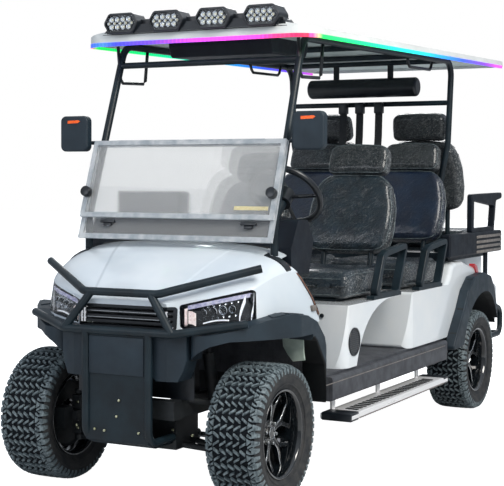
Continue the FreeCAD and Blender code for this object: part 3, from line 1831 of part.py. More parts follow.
def dashboard():
    """The dash: a hollow moulding that is open towards the seats."""
    front = from_front(hood_rear_reach) + fit_gap
    outline = [
        (front, dash_low_z),
        (front, hood_rear_z - sheet * 3),
        (front + dash_depth * dash_crest_share, dash_top_z),
        (front + dash_depth * dash_brow_share, dash_top_z),
        (front + dash_depth, dash_top_z - dash_drop),
        (front + dash_depth * dash_foot_share, dash_low_z),
    ]
    body = side_prism(outline, -dash_half, dash_half, dash_round)
    bins = []
    for x0, x1 in dash_bins:
        bins.append(
            block(
                x0,
                x1,
                front + dash_depth * dash_crest_share,
                front + dash_depth + overrun,
                dash_low_z + dash_round,
                dash_top_z - dash_drop,
            )
        )
    crest = front + dash_depth * dash_crest_share
    brow = front + dash_depth * dash_brow_share
    hood_box = soft_box(dash_hood[0], dash_hood[1], crest, brow, dash_top_z - dash_round,
            dash_hood_z, dash_round / 2)
    column = rod(column_low(), column_high(), column_radius + fit_gap)
    return joined([cut_all(body, bins), hood_box]).cut(column)


def pod_outline(x_centre, z_centre, shrink):
    """The long six-sided outline of a lamp pod."""
    half = light_pod_width / 2
    rise = light_pod_height / 2
    flat = half - rise * pod_end_share
    points = [(-half, 0.0), (-flat, -rise), (flat, -rise), (half, 0.0), (flat, rise), (-flat, rise)]
    return [(x_centre + x, z_centre + z) for x, z in shrunk(points, shrink)]


def light_bar():
    """A deep bar on the roof's front edge with four lamp pods set into it."""
    y = from_front(light_bar_reach)
    half = light_bar_half
    low = light_bar_z
    high = low + light_bar_rail
    bar = [(-half, low), (half, low), (half - light_bar_taper, high), (-half + light_bar_taper, high)]
    rear = y + light_bar_depth
    pieces = [soft_front_prism(bar, y, rear, pod_edge, pod_edge, [y])]
    pockets = []
    front = y + light_bar_depth / 2 - light_pod_depth
    z = high + pod_rise - light_pod_height / 2 + pod_edge
    for i in range(light_pods):
        x = (i - (light_pods - 1) / 2) * light_pod_spacing
        outline = pod_outline(x, z, 0)
        pieces.append(soft_front_prism(outline, front, y + light_bar_depth - pod_edge, pod_round,
                pod_edge, [front]))
        pockets.append(front_prism(pod_outline(x, z, pod_rim), front - overrun, front + pod_recess,
                pod_round - pod_rim / 2))
    for side in (-1, 1):
        x = side * (half - light_pod_depth)
        pieces.append(block(x - pod_rise, x + pod_rise, rear - pod_edge, y + light_foot_length, low,
                low + light_bar_rail / 2))
    whole = cut_all(joined(pieces), pockets).cut(roof_form(0))
    return max(whole.Solids, key=lambda solid: solid.Volume)


def roof_console():
    """The moulded console under the ceiling over the front seats."""
    front = from_front(console_front_reach)
    rear = from_front(console_rear_reach)
    top = roof_edge_z(front) + post_radius + fit_gap
    rear_top = roof_edge_z(rear) + post_radius + fit_gap
    outline = [
        (front, top - console_drop / 3),
        (front + console_round, top - console_drop),
        (rear - console_round, rear_top - console_drop),
        (rear, rear_top - console_drop / 2),
        (rear, rear_top + console_drop),
        (front, top + console_drop),
    ]
    body = side_prism(outline, -console_half, console_half, console_round / 2)
    body = body.makeFillet(console_edge, end_edges(body, 0, [-console_half, console_half]))
    line = (rear_top - top) / (rear - front)
    above = side_prism(
        [
            (front - overrun, top - overrun * line),
            (rear + overrun, rear_top + overrun * line),
            (rear + overrun, vehicle_length),
            (front - overrun, vehicle_length),
        ],
        -vehicle_length,
        vehicle_length,
    )
    return body.cut(above)


def sound_bar():
    """The speaker bar that hangs on two straps from the last roof tube."""
    front_y = post_place(roof_edge_z(post_place(roof_edge_front_z)))
    y = front_y + (from_rear(rear_post_reach) - front_y) * roof_cross_shares[-1]
    body = rod(V(-sound_bar_half, y, sound_bar_z), V(sound_bar_half, y, sound_bar_z), sound_bar_radius)
    body = body.makeFillet(sound_bar_radius / 3, body.Edges)
    pieces = [body]
    for side in (-1, 1):
        x = side * sound_bar_half / 2
        strap = block(x - guard_tube, x + guard_tube, y - sheet, y + sheet, sound_bar_z, roof_edge_z(y))
        pieces.append(strap)
    tube_z = roof_edge_z(y)
    cross = rod(V(-sound_bar_half, y, tube_z), V(sound_bar_half, y, tube_z),
            post_radius * cross_tube_share + fit_gap)
    return joined(pieces).cut(cross)


def mirror():
    """The left mirror on a short arm from the front post."""
    z = mirror_z - mirror_height / 4
    post_y = post_place(z)
    y = post_y - mirror_depth
    half = mirror_width / 2
    rise = mirror_height / 2
    corners = [
        (mirror_x - half, mirror_z - rise),
        (mirror_x + half, mirror_z - rise),
        (mirror_x + half, mirror_z + rise),
        (mirror_x - half, mirror_z + rise),
    ]
    front = y - mirror_depth / 2
    head = soft_front_prism(corners, front, front + mirror_depth, mirror_round, mirror_edge,
            [front, front + mirror_depth])
    arm = tube(
        [V(post_top_x, post_y, z), V(mirror_x - mirror_width / 3, post_y, z), V(mirror_x, y, z)],
        mirror_arm_radius,
        mirror_depth,
    )
    low = V(post_foot_x, post_place(post_bend_z), post_bend_z)
    top_y = post_place(roof_edge_front_z)
    post = rod(low, V(post_top_x, top_y, roof_edge_z(top_y)), post_radius + fit_gap)
    body = joined([head, arm]).cut(post)
    return max(body.Solids, key=lambda solid: solid.Volume)


def tail_light():
    """The red lamp on the fender's shoulder, just behind the flare's crest."""
    points = [(from_rear(dy), z) for dy, z in tail_light_points]
    body = side_prism(points, base_half - fender_edge, base_half + tail_light_proud, tail_light_proud / 2)
    return pair(body.cut(rear_form(0)).cut(rear_flare()))


def lower_offset():
    return post_radius + fit_gap + screen_thick / 2


def upper_offset():
    return lower_offset() + screen_thick + screen_gap


def hinge_offset():
    return (lower_offset() + upper_offset()) / 2


def screen_hinge():
    """The windshield hinge's axis, as a point on the middle plane."""
    return screen_point(screen_hinge_z, hinge_offset())


def upper_low_z():
    return screen_hinge_z - screen_upper_height * math.cos(math.atan(post_lean))


def lower_screen_frame():
    frame = screen_frame(screen_foot_z, screen_hinge_z - screen_gap / 2, lower_offset())
    hinge = screen_hinge()
    barrel = rod(V(-hinge_half, hinge.y, hinge.z), V(hinge_half, hinge.y, hinge.z), screen_barrel)
    leaf = screen_panel(screen_hinge_z - glass_frame, screen_hinge_z,
            hinge_offset() - screen_gap / 4, hinge_half, screen_gap / 2)
    return joined([frame, barrel, leaf])


def upper_screen_frame():
    return screen_frame(upper_low_z(), screen_hinge_z - screen_gap / 2, upper_offset())


def build():
    os.makedirs("parts", exist_ok=True)
    outer = hood_form(0)
    inner = hood_form(sheet)
    deep = hood_form(lamp_depth)
    places = (("front", front_axle_y), ("rear", rear_axle_y))
    for row, axle in places:
        one_tyre = tyre(axle)
        one_rim = wheel_rim(axle)
        save("tyre_" + row + "_left", [one_tyre])
        save("tyre_" + row + "_right", [mirrored(one_tyre)])
        save("rim_" + row + "_left", [one_rim])
        save("rim_" + row + "_right", [mirrored(one_rim)])
    left_knuckle = [knuckle(), caliper()]
    save("knuckle_left", left_knuckle)
    save("knuckle_right", [mirrored(shape) for shape in left_knuckle])
    save("steering_rack", [steering_rack()])
    save("front_suspension", [front_suspension()])
    save("shock_absorbers", shock_absorbers())
    save("chassis_frame", [chassis_frame()])
    save("rear_axle", [rear_axle()])
    save("motor", [motor()])
    save("battery", [battery()])
    save("steering_column", [steering_column()])
    save("steering_wheel", [steering_wheel()])
    save("floor_pan", [floor_pan()])
    save("running_boards", running_boards())
    save("hood", [hood(outer, inner)])
    save("headlight_lenses", headlights(outer, inner))
    save("headlight_housings", lamp_housings(inner, deep))
    save("grille", [grille(outer, deep)])
    save("front_bumper", [bumper()])
    save("wheel_flares", pair(front_flare(outer)) + pair(rear_flare()))
    save("brush_guard", [brush_guard()])
    save("canopy_frame", [canopy_frame()])
    save("windshield_lower_frame", [lower_screen_frame()])
    save("windshield_lower_glass", [screen_glass(screen_foot_z, screen_hinge_z - screen_gap / 2,
            lower_offset())])
    save("windshield_upper_frame", [upper_screen_frame()])
    save("windshield_upper_glass", [screen_glass(upper_low_z(), screen_hinge_z - screen_gap / 2,
            upper_offset())])
    save("dashboard", [dashboard()])
    save("mirrors", pair(mirror()))
    save("roof_shell", [roof()])
    save("roof_liner", [roof_liner()])
    save("roof_console", [roof_console()])
    save("light_bar", [light_bar()])
    save("sound_bar", [sound_bar()])
    save("front_seat_base", [front_base()])
    save("rear_body", [rear_body()])
    save("tail_lights", tail_light())
    save("seat_box", [seat_box()])
    save("seat_frames", seat_frames())
    cushions = []
    backs = []
    for x_centre in (-seat_x, seat_x):
        for row in (0, 1):
            low = base_top_z + seat_plate + fit_gap
            cushions.append(seat_cushion(from_front(cushion_reach + seat_pitch * row), low, x_centre))
            back_y = from_front(back_low_reach + seat_pitch * row)
            backs.append(seat_back(back_y, back_low_z + row_rise * row, 1, x_centre))
        backs.append(seat_back(from_rear(rear_back_reach), rear_back_low_z, -1, x_centre))
    save("seat_cushions", cushions)
    save("seat_backs", backs)
    save("rear_seat_cushion", rear_seat_cushion())
    save("rear_armrests", rear_armrests())
    save("rear_step", [rear_step()])


build()
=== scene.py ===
import bpy
import bmesh
import math
from mathutils import Matrix, Vector, noise as field
from mathutils.bvhtree import BVHTree


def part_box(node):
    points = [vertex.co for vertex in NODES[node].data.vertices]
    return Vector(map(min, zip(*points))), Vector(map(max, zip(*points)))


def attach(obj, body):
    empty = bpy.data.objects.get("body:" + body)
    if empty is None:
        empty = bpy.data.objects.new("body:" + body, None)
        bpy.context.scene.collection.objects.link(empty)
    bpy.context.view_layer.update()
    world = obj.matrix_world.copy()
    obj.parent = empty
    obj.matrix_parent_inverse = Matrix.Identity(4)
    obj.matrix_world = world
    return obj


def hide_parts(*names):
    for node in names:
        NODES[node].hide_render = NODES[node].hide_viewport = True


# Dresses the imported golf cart: paint, plastics, vinyl seats under their clear film, tyre tread, lamps,
# light strip, belts and small hardware. Sizes are in metres, in the same frame as the solids:
# the nose points to -Y, the driver's left is +X and the ground is at zero.

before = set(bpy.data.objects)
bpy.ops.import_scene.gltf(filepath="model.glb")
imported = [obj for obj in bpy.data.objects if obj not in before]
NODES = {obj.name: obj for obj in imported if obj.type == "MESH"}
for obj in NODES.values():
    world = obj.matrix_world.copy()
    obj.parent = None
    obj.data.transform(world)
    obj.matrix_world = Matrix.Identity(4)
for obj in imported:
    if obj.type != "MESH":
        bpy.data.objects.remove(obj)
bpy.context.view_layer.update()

FRONT_AXLE_Y = -1.570
REAR_AXLE_Y = 1.050
HALF_TRACK = 0.510
AXLE_Z = 0.292
SIDES = (("left", 1), ("right", -1))
AXLES = (("front", FRONT_AXLE_Y), ("rear", REAR_AXLE_Y))
MM = 0.001
UP = Vector((0, 0, 1))
BACKWARD = Vector((0, 1, 0))
ACROSS = Vector((1, 0, 0))
DOWN = -UP


def linear(hex_colour):
    """An sRGB hex value as a linear colour."""
    values = [int(hex_colour[i : i + 2], 16) / 255 for i in (1, 3, 5)]
    return tuple(v / 12.92 if v <= 0.04045 else ((v + 0.055) / 1.055) ** 2.4 for v in values) + (1.0,)


def add_node(tree, kind, inputs=None, stops=None, **settings):
    """Adds one shader node with its settings and links.

    An input is a value, or a (node, output) pair to link from. Stops are a ramp's (place, hex or grey) pairs.
    """
    node = tree.nodes.new(kind)
    for name, value in settings.items():
        setattr(node, name, value)
    for name, value in (inputs or {}).items():
        if isinstance(value, tuple) and isinstance(value[0], bpy.types.Node):
            tree.links.new(value[0].outputs[value[1]], node.inputs[name])
        else:
            node.inputs[name].default_value = value
    if stops:
        points = node.color_ramp.elements
        while len(points) < len(stops):
            points.new(0.5)
        for point, (place, colour) in zip(points, stops):
            point.position = place
            point.color = linear(colour) if isinstance(colour, str) else (colour, colour, colour, 1.0)
    return node


def finish_material(name, base, shader_inputs, bump=None, colour=None, roughness=None):
    """A material with one surface shader.

    colour, roughness and bump are patterns: each adds its own nodes and gives a (node, output) pair.
    """
    material = bpy.data.materials.new(name)
    material.use_nodes = True
    material.diffuse_color = linear(base)
    tree = material.node_tree
    shader = tree.nodes["Principled BSDF"]
    shader.inputs["Base Color"].default_value = linear(base)
    for key, value in shader_inputs.items():
        shader.inputs[key].default_value = value
    where = (add_node(tree, "ShaderNodeTexCoord"), "Object")
    for socket, pattern in (("Base Color", colour), ("Roughness", roughness), ("Normal", bump)):
        if pattern:
            node, output = pattern(tree, where)
            tree.links.new(node.outputs[output], shader.inputs[socket])
    return material


def across_mm(size_mm):
    """The scale at which a noise or cell pattern is about size_mm across."""
    return 1000.0 / size_mm


def band_pitch(pitch_mm):
    """The scale at which straight bands lie pitch_mm apart: they repeat every pi / 10 of a scaled place."""
    return 1000.0 * math.pi / 10 / pitch_mm


def mixed_colour(low, high, size_mm):
    """Two shades of one colour in soft patches."""

    def colour(tree, where):
        patches = add_node(
            tree,
            "ShaderNodeTexNoise",
            {"Vector": where, "Scale": across_mm(size_mm), "Detail": 3.0, "Roughness": 0.6},
        )
        stops = [(0.35, low), (0.65, high)]
        return add_node(tree, "ShaderNodeValToRGB", {"Fac": (patches, "Fac")}, stops), "Color"

    return colour


def grain(size_mm, depth_mm, detail=2.0, stretch=None):
    """An even moulded or sprayed surface grain, drawn out where a tool or a press ran along it."""

    def bump(tree, where):
        if stretch:
            where = (add_node(tree, "ShaderNodeMapping", {"Vector": where, "Scale": stretch}), "Vector")
        grains = add_node(
            tree,
            "ShaderNodeTexNoise",
            {"Vector": where, "Scale": across_mm(size_mm), "Detail": detail, "Roughness": 0.5},
        )
        relief = {"Height": (grains, "Fac"), "Distance": depth_mm * MM}
        return add_node(tree, "ShaderNodeBump", relief), "Normal"

    return bump


def rough_range(low, high, size_mm, stretch=None):
    """Patches of a surface that are handled, dusty or polished more than the rest."""

    def roughness(tree, where):
        if stretch:
            where = (add_node(tree, "ShaderNodeMapping", {"Vector": where, "Scale": stretch}), "Vector")
        patches = add_node(
            tree,
            "ShaderNodeTexNoise",
            {"Vector": where, "Scale": across_mm(size_mm), "Detail": 3.0, "Roughness": 0.6},
        )
        spread = {"Value": (patches, "Fac"), "From Min": 0.3, "From Max": 0.7, "To Min": low, "To Max": high}
        return add_node(tree, "ShaderNodeMapRange", spread), "Result"

    return roughness


# Tyre side wall, moulded and new: dull, brown-grey from mould release in faint patches.
tyre_rubber = finish_material(
    "tyre_rubber",
    "#2d2f31",
    {"Roughness": 0.72, "Specular IOR Level": 0.4, "IOR": 1.5},
    bump=grain(3.0, 0.35),
    colour=mixed_colour("#23262a", "#3a3a3a", 45.0),
)
# Floor of the tread's grooves: clean rubber, painted nearly black as painted shade in the recesses.
groove_rubber_painted_shade = finish_material(
    "tyre_groove_rubber",
    "#0b1016",
    {"Roughness": 0.85, "Specular IOR Level": 0.2, "IOR": 1.5},
    bump=grain(3.0, 0.3),
    colour=mixed_colour("#080c12", "#141a20", 30.0),
)
# Tread block tops are grey-green, painted lighter than the grooves as painted light on the raised blocks.
tread_rubber_painted_light = finish_material(
    "tyre_tread_rubber",
    "#566267",
    {"Roughness": 0.55, "IOR": 1.5},
    bump=grain(2.5, 0.3),
    colour=mixed_colour("#3b464b", "#758287", 16.0),
    roughness=rough_range(0.45, 0.7, 30.0),
)
# Cast alloy under gloss black lacquer: sharp reflections.
rim_lacquer = finish_material(
    "cast_alloy_gloss_black",
    "#0b0e11",
    {"Metallic": 0.0, "Roughness": 0.12, "Coat Weight": 1.0, "Coat Roughness": 0.04, "IOR": 1.5},
    bump=grain(9.0, 0.06),
    colour=mixed_colour("#080b0e", "#12171b", 40.0),
)
# Turned alloy left bare where the lacquer is cut through: fine tool lines.
machined_alloy = finish_material(
    "machined_alloy",
    "#d9dde0",
    {"Metallic": 1.0, "Roughness": 0.22},
    bump=grain(1.4, 0.05, stretch=(1.0, 6.0, 6.0)),
    roughness=rough_range(0.16, 0.3, 8.0),
)
# Powder-coated steel tube: satin with a fine orange peel.
powder_coat = finish_material(
    "powder_coated_steel",
    "#0f1c24",
    {"Roughness": 0.42, "Specular IOR Level": 0.36, "IOR": 1.5},
    bump=grain(2.2, 0.12),
    colour=mixed_colour("#0b171e", "#14242c", 120.0),
    roughness=rough_range(0.36, 0.5, 60.0),
)
# Chassis paint: duller than the tubes and dusty.
chassis_paint = finish_material(
    "chassis_enamel",
    "#14181c",
    {"Roughness": 0.6, "IOR": 1.5},
    bump=grain(5.0, 0.3),
    colour=mixed_colour("#0d1115", "#22272a", 80.0),
)
# Bare turned steel: rack, bolts and discs.
turned_steel = finish_material(
    "turned_steel",
    "#a9adb0",
    {"Metallic": 1.0, "Roughness": 0.3},
    bump=grain(1.5, 0.06, stretch=(8.0, 1.0, 1.0)),
    roughness=rough_range(0.22, 0.42, 20.0),
)
# Anodised, brushed aluminium of the running boards: lines along the board, with the oxide's pale scatter.
brushed_aluminium = finish_material(
    "brushed_aluminium",
    "#f0f0f1",
    {"Metallic": 0.35, "Roughness": 0.42, "IOR": 1.5},
    bump=grain(1.6, 0.08, stretch=(1.0, 0.02, 1.0)),
    roughness=rough_range(0.26, 0.44, 10.0, stretch=(1.0, 0.03, 1.0)),
)
# Moulded ABS body panels under clear lacquer: cool white, with a faint orange peel in the highlights.
white_body = finish_material(
    "abs_white_lacquered",
    "#dfe5e9",
    {"Roughness": 0.22, "Coat Weight": 0.8, "Coat Roughness": 0.05, "IOR": 1.5},
    bump=grain(14.0, 0.05),
    colour=mixed_colour("#dbe2e7", "#e4e8ea", 300.0),
)


HOOD_NOSE_Y = -1.83
HOOD_SCREEN_Y = -1.33
CREASE_NOSE_X = 0.170
CREASE_SCREEN_X = 0.320
CREASE_HALF_WIDTH = 0.012
CREASE_RISE_MM = 3.5


def hood_crease(tree, where):
    """The hood's raised middle: two soft creases that part towards the windshield."""
    parts = add_node(tree, "ShaderNodeSeparateXYZ", {"Vector": where})
    across = add_node(tree, "ShaderNodeMath", {0: (parts, "X")}, operation="ABSOLUTE")
    line = add_node(
        tree,
        "ShaderNodeMapRange",
        {
            "Value": (parts, "Y"),
            "From Min": HOOD_NOSE_Y,
            "From Max": HOOD_SCREEN_Y,
            "To Min": CREASE_NOSE_X,
            "To Max": CREASE_SCREEN_X,
        },
    )
    away = add_node(tree, "ShaderNodeMath", {0: (across, "Value"), 1: (line, "Result")}, operation="SUBTRACT")
    step = add_node(
        tree,
        "ShaderNodeMapRange",
        {
            "Value": (away, "Value"),
            "From Min": -CREASE_HALF_WIDTH,
            "From Max": CREASE_HALF_WIDTH,
            "To Min": 1.0,
            "To Max": 0.0,
        },
        interpolation_type="SMOOTHERSTEP",
    )
    relief = {"Height": (step, "Result"), "Distance": CREASE_RISE_MM * MM}
    return add_node(tree, "ShaderNodeBump", relief), "Normal"


# The hood's panel has the same lacquer, with its two creases, and its white is painted darker than the body's
# as painted shade on the brightly lit top.
hood_body_painted_shade = finish_material(
    "abs_white_lacquered_hood",
    "#ced8e0",
    {"Roughness": 0.24, "Coat Weight": 0.8, "Coat Roughness": 0.06, "IOR": 1.5},
    bump=hood_crease,
    colour=mixed_colour("#c9d4dd", "#d4dce2", 300.0),
)
# Textured ABS of flares, bumper and dash: dark slate, fine grain, soft sheen.
slate_plastic = finish_material(
    "abs_slate_grained",
    "#1b2831",
    {"Roughness": 0.52, "Specular IOR Level": 0.4, "IOR": 1.5},
    bump=grain(1.8, 0.2),
    colour=mixed_colour("#17232c", "#202e38", 150.0),
    roughness=rough_range(0.45, 0.6, 50.0),
)


BETWEEN_FLARES_Y = -0.3


def flare_colour_painted_shade(tree, where):
    """Slate like the bumper, and painted shade where a face looks at its wheel's axle: nearly black inside
    the arch.
    """
    outer = mixed_colour("#17232c", "#202e38", 150.0)(tree, where)
    parts = add_node(tree, "ShaderNodeSeparateXYZ", {"Vector": where})
    at_rear = add_node(
        tree, "ShaderNodeMath", {0: (parts, "Y"), 1: BETWEEN_FLARES_Y}, operation="GREATER_THAN"
    )
    axle = add_node(
        tree,
        "ShaderNodeMapRange",
        {"Value": (at_rear, "Value"), "To Min": FRONT_AXLE_Y, "To Max": REAR_AXLE_Y},
    )
    along = add_node(tree, "ShaderNodeMath", {0: (axle, "Result"), 1: (parts, "Y")}, operation="SUBTRACT")
    up = add_node(tree, "ShaderNodeMath", {0: AXLE_Z, 1: (parts, "Z")}, operation="SUBTRACT")
    way = add_node(tree, "ShaderNodeCombineXYZ", {"Y": (along, "Value"), "Z": (up, "Value")})
    unit = add_node(tree, "ShaderNodeVectorMath", {0: (way, "Vector")}, operation="NORMALIZE")
    shape = add_node(tree, "ShaderNodeNewGeometry")
    facing = add_node(
        tree,
        "ShaderNodeVectorMath",
        {0: (unit, "Vector"), 1: (shape, "True Normal")},
        operation="DOT_PRODUCT",
    )
    inside = add_node(
        tree, "ShaderNodeMapRange", {"Value": (facing, "Value"), "From Min": 0.35, "From Max": 0.6}
    )
    # Painted shade: faces turned to the axle take a near-black colour.
    layers = {"Factor": (inside, "Result"), 6: outer, 7: linear("#04070a")}
    return add_node(tree, "ShaderNodeMix", layers, data_type="RGBA"), 2


# Flares: the same slate outside, nearly black inside the arch as painted shade.
flare_plastic_painted_shade = finish_material(
    "abs_slate_grained_flare",
    "#1b2831",
    {"Roughness": 0.52, "Specular IOR Level": 0.4, "IOR": 1.5},
    bump=grain(1.8, 0.2),
    colour=flare_colour_painted_shade,
    roughness=rough_range(0.45, 0.6, 50.0),
)
# Dash moulding: the same grain, nearly black: its own dark colour, deepened by painted shade.
dash_plastic_painted_shade = finish_material(
    "abs_dash_grained",
    "#0a121b",
    {"Roughness": 0.55, "Specular IOR Level": 0.3, "IOR": 1.5},
    bump=grain(1.8, 0.2),
    colour=mixed_colour("#070e18", "#0e1823", 120.0),
    roughness=rough_range(0.48, 0.62, 50.0),
)
# Smooth black ABS: lamp bezels, mirror shells, clips.
black_plastic = finish_material(
    "abs_black_smooth",
    "#14181d",
    {"Roughness": 0.3, "IOR": 1.5},
    bump=grain(3.0, 0.05),
    colour=mixed_colour("#11151a", "#1c2127", 60.0),
)
# Black EPDM rubber seal: dull.
rubber_trim = finish_material(
    "rubber_extruded",
    "#15181a",
    {"Roughness": 0.7, "IOR": 1.5},
    bump=grain(1.5, 0.1),
    colour=mixed_colour("#111416", "#1e2224", 20.0),
)


def mat_ribs(tree, where):
    """Ribs along the floor mat, 7.5 mm apart where real ones are 6 mm, so that they show."""
    ribs = add_node(
        tree,
        "ShaderNodeTexWave",
        {"Vector": where, "Scale": band_pitch(7.54)},
        wave_type="BANDS",
        bands_direction="X",
        wave_profile="SIN",
    )
    return add_node(tree, "ShaderNodeBump", {"Height": (ribs, "Fac"), "Distance": 1.5 * MM}), "Normal"


# Floor mat: grey rubber, dull with trodden dust, ribbed along the cart.
floor_rubber = finish_material(
    "rubber_mat_ribbed",
    "#3d4046",
    {"Roughness": 0.62, "IOR": 1.5},
    bump=mat_ribs,
    colour=mixed_colour("#33353b", "#4b4e54", 70.0),
)


def film_creases(tree, where):
    """Long creases of a clear film over vinyl, about 18 mm apart, that climb to one side."""
    drawn = add_node(
        tree,
        "ShaderNodeMapping",
        {"Vector": where, "Rotation": (0.0, math.radians(-36), 0.0), "Scale": (3.6, 1.2, 0.8)},
        vector_type="TEXTURE",
    )
    creases = {"Vector": (drawn, "Vector"), "Scale": across_mm(18.0), "Detail": 2.0, "Roughness": 0.5}
    return add_node(tree, "ShaderNodeTexNoise", creases), "Fac"


def film_height(depth_mm):
    """Relief of the film: its creases and a fine crackle."""

    def height(tree, where):
        ridge_stops = [(0.36, 0.0), (0.5, 1.0), (0.56, 0.15)]
        ridges = add_node(tree, "ShaderNodeValToRGB", {"Fac": film_creases(tree, where)}, ridge_stops)
        crackle = add_node(
            tree,
            "ShaderNodeTexVoronoi",
            {"Vector": where, "Scale": across_mm(13.0)},
            feature="DISTANCE_TO_EDGE",
        )
        sharp_stops = [(0.0, 0.45), (0.12, 0.0)]
        sharp = add_node(tree, "ShaderNodeValToRGB", {"Fac": (crackle, "Distance")}, sharp_stops)
        both = add_node(tree, "ShaderNodeMath", {0: (ridges, "Color"), 1: (sharp, "Color")}, operation="ADD")
        relief = {"Height": (both, "Value"), "Distance": depth_mm * MM}
        return add_node(tree, "ShaderNodeBump", relief), "Normal"

    return height


def film_colour_painted_highlights(low, high, painted_fleck_share, painted_glint_share):
    """Dark vinyl with painted highlights: pale flecks of the film, most where pads turn outward, and painted
    glints on the creases.
    """

    def patches(tree, where, size_mm, detail, rough, stops):
        """Uneven patches of the film or vinyl, with the ramp that gives their tone."""
        spread = {"Vector": where, "Scale": across_mm(size_mm), "Detail": detail, "Roughness": rough}
        return add_node(
            tree, "ShaderNodeValToRGB", {"Fac": (add_node(tree, "ShaderNodeTexNoise", spread), "Fac")}, stops
        )

    def colour(tree, where):
        vinyl = patches(tree, where, 90.0, 3.0, 0.6, [(0.35, low), (0.65, high)])
        spots = patches(tree, where, 9.0, 4.0, 0.7, [(0.50, 0.0), (0.64, 1.0)])
        shape = add_node(tree, "ShaderNodeNewGeometry")
        facing = add_node(tree, "ShaderNodeSeparateXYZ", {"Vector": (shape, "Normal")})
        outward = add_node(tree, "ShaderNodeMath", {0: (facing, "X")}, operation="ABSOLUTE")
        # Painted highlight: the pale flecks grow where a face turns to the side.
        turned = add_node(
            tree,
            "ShaderNodeMapRange",
            {
                "Value": (outward, "Value"),
                "From Min": 0.45,
                "From Max": 0.95,
                "To Min": painted_fleck_share,
                "To Max": 0.8,
            },
        )
        share = add_node(
            tree, "ShaderNodeMath", {0: (spots, "Color"), 1: (turned, "Result")}, operation="MULTIPLY"
        )
        line_stops = [(0.45, 0.0), (0.5, 1.0), (0.55, 0.0)]
        lines = add_node(tree, "ShaderNodeValToRGB", {"Fac": film_creases(tree, where)}, line_stops)
        drawn_here = patches(tree, where, 55.0, 3.0, 0.6, [(0.46, 0.0), (0.60, painted_glint_share)])
        glints = add_node(
            tree, "ShaderNodeMath", {0: (lines, "Color"), 1: (drawn_here, "Color")}, operation="MULTIPLY"
        )
        pale = add_node(
            tree, "ShaderNodeMath", {0: (share, "Value"), 1: (glints, "Value")}, operation="MAXIMUM"
        )
        # Painted highlight: the pale colour laid over the vinyl where the flecks and glints fall.
        layers = {"Factor": (pale, "Value"), 6: (vinyl, "Color"), 7: linear("#a3a6a6")}
        return add_node(tree, "ShaderNodeMix", layers, data_type="RGBA"), 2

    return colour


def film_finish(name, base, low, high, depth_mm, painted_fleck_share, painted_glint_share):
    """Seat vinyl under its clear film: nearly black, with fine broken painted highlights along the creases.
    """
    return finish_material(
        name,
        base,
        {"Roughness": 0.46, "IOR": 1.48, "Coat Weight": 0.5, "Coat Roughness": 0.16},
        bump=film_height(depth_mm),
        colour=film_colour_painted_highlights(low, high, painted_fleck_share, painted_glint_share),
        roughness=rough_range(0.36, 0.58, 24.0),
    )


# The film is wrinkled over the front row, drawn smooth over the second, and crumpled over the headrests; the
# last two numbers set the painted flecks and glints. The second row's vinyl is painted darker and bluer than
# the front row's, as painted shade.
film_vinyl = film_finish("vinyl_under_clear_film", "#0c1e29", "#07161f", "#132733", 3.4, 0.03, 0.20)
smooth_film_vinyl_painted_shade = film_finish("vinyl_under_drawn_film", "#071a30", "#04142a", "#0b213a", 1.6, 0.01, 0.03)
crumpled_film_vinyl = film_finish(
    "vinyl_under_crumpled_film", "#1b2328", "#141c21", "#232b30", 4.2, 0.20, 0.22
)
# Welt cord at the seams, painted lighter than the vinyl as a painted highlight along the seams.
seam_vinyl_painted_highlight = finish_material(
    "vinyl_welt_cord",
    "#4a575b",
    {"Roughness": 0.35, "IOR": 1.48, "Coat Weight": 0.5, "Coat Roughness": 0.15},
    bump=grain(4.0, 0.2),
    colour=mixed_colour("#2f3a40", "#6d797c", 25.0),
)
# Roof skin: white ABS, a little duller than the body from dust.
white_roof = finish_material(
    "abs_white_roof",
    "#d9dddc",
    {"Roughness": 0.38, "Coat Weight": 0.3, "Coat Roughness": 0.1, "IOR": 1.5},
    bump=grain(12.0, 0.08),
    colour=mixed_colour("#d2d6d5", "#e2e5e4", 260.0),
)
# Ceiling moulding: grey-green, satin, painted far paler than its own grey as painted light, standing in for
# the light bounced up under the roof.
grey_ceiling_painted_light = finish_material(
    "abs_grey_ceiling",
    "#c3d1cf",
    {"Roughness": 0.5, "IOR": 1.5},
    bump=grain(2.0, 0.15),
    colour=mixed_colour("#b9c8c6", "#cddad7", 200.0),
)
# Clear polycarbonate lamp lens.
clear_lens = finish_material(
    "polycarbonate_clear",
    "#f3f7fa",
    {"Roughness": 0.03, "Transmission Weight": 1.0, "IOR": 1.12, "Alpha": 0.55},
    bump=grain(20.0, 0.03),
)
# Vacuum-plated reflector bowls.
plated_reflector = finish_material(
    "plated_reflector",
    "#dfe3e8",
    {"Metallic": 1.0, "Roughness": 0.12},
    bump=grain(6.0, 0.15),
)
# Edges of the headlights' light guides that light up in use, seen unlit as white acrylic with a faint painted
# glow.
light_guide_painted_glow = finish_material(
    "acrylic_light_guide",
    "#eef1f6",
    {"Roughness": 0.2, "IOR": 1.49, "Emission Color": linear("#eef1f6"), "Emission Strength": 0.25},
    bump=grain(3.0, 0.1),
    colour=mixed_colour("#e2e6ee", "#f8f9fb", 10.0),
)
# Violet-tinted plated trim bar above the lamps.
plated_violet = finish_material(
    "plated_violet_trim",
    "#c6c2de",
    {"Metallic": 0.5, "Roughness": 0.25},
    bump=grain(5.0, 0.1),
    colour=mixed_colour("#aaa6cc", "#e6e4f3", 18.0),
)
# Warm pink-white diffuser at the lamps' inner ends, with a faint painted glow though the lamps are off.
warm_diffuser_painted_glow = finish_material(
    "acrylic_warm_diffuser",
    "#ecd9d6",
    {"Roughness": 0.3, "IOR": 1.49, "Emission Color": linear("#ecd9d6"), "Emission Strength": 0.12},
    bump=grain(4.0, 0.2),
    colour=mixed_colour("#dcc3c0", "#f6ebe8", 12.0),
)
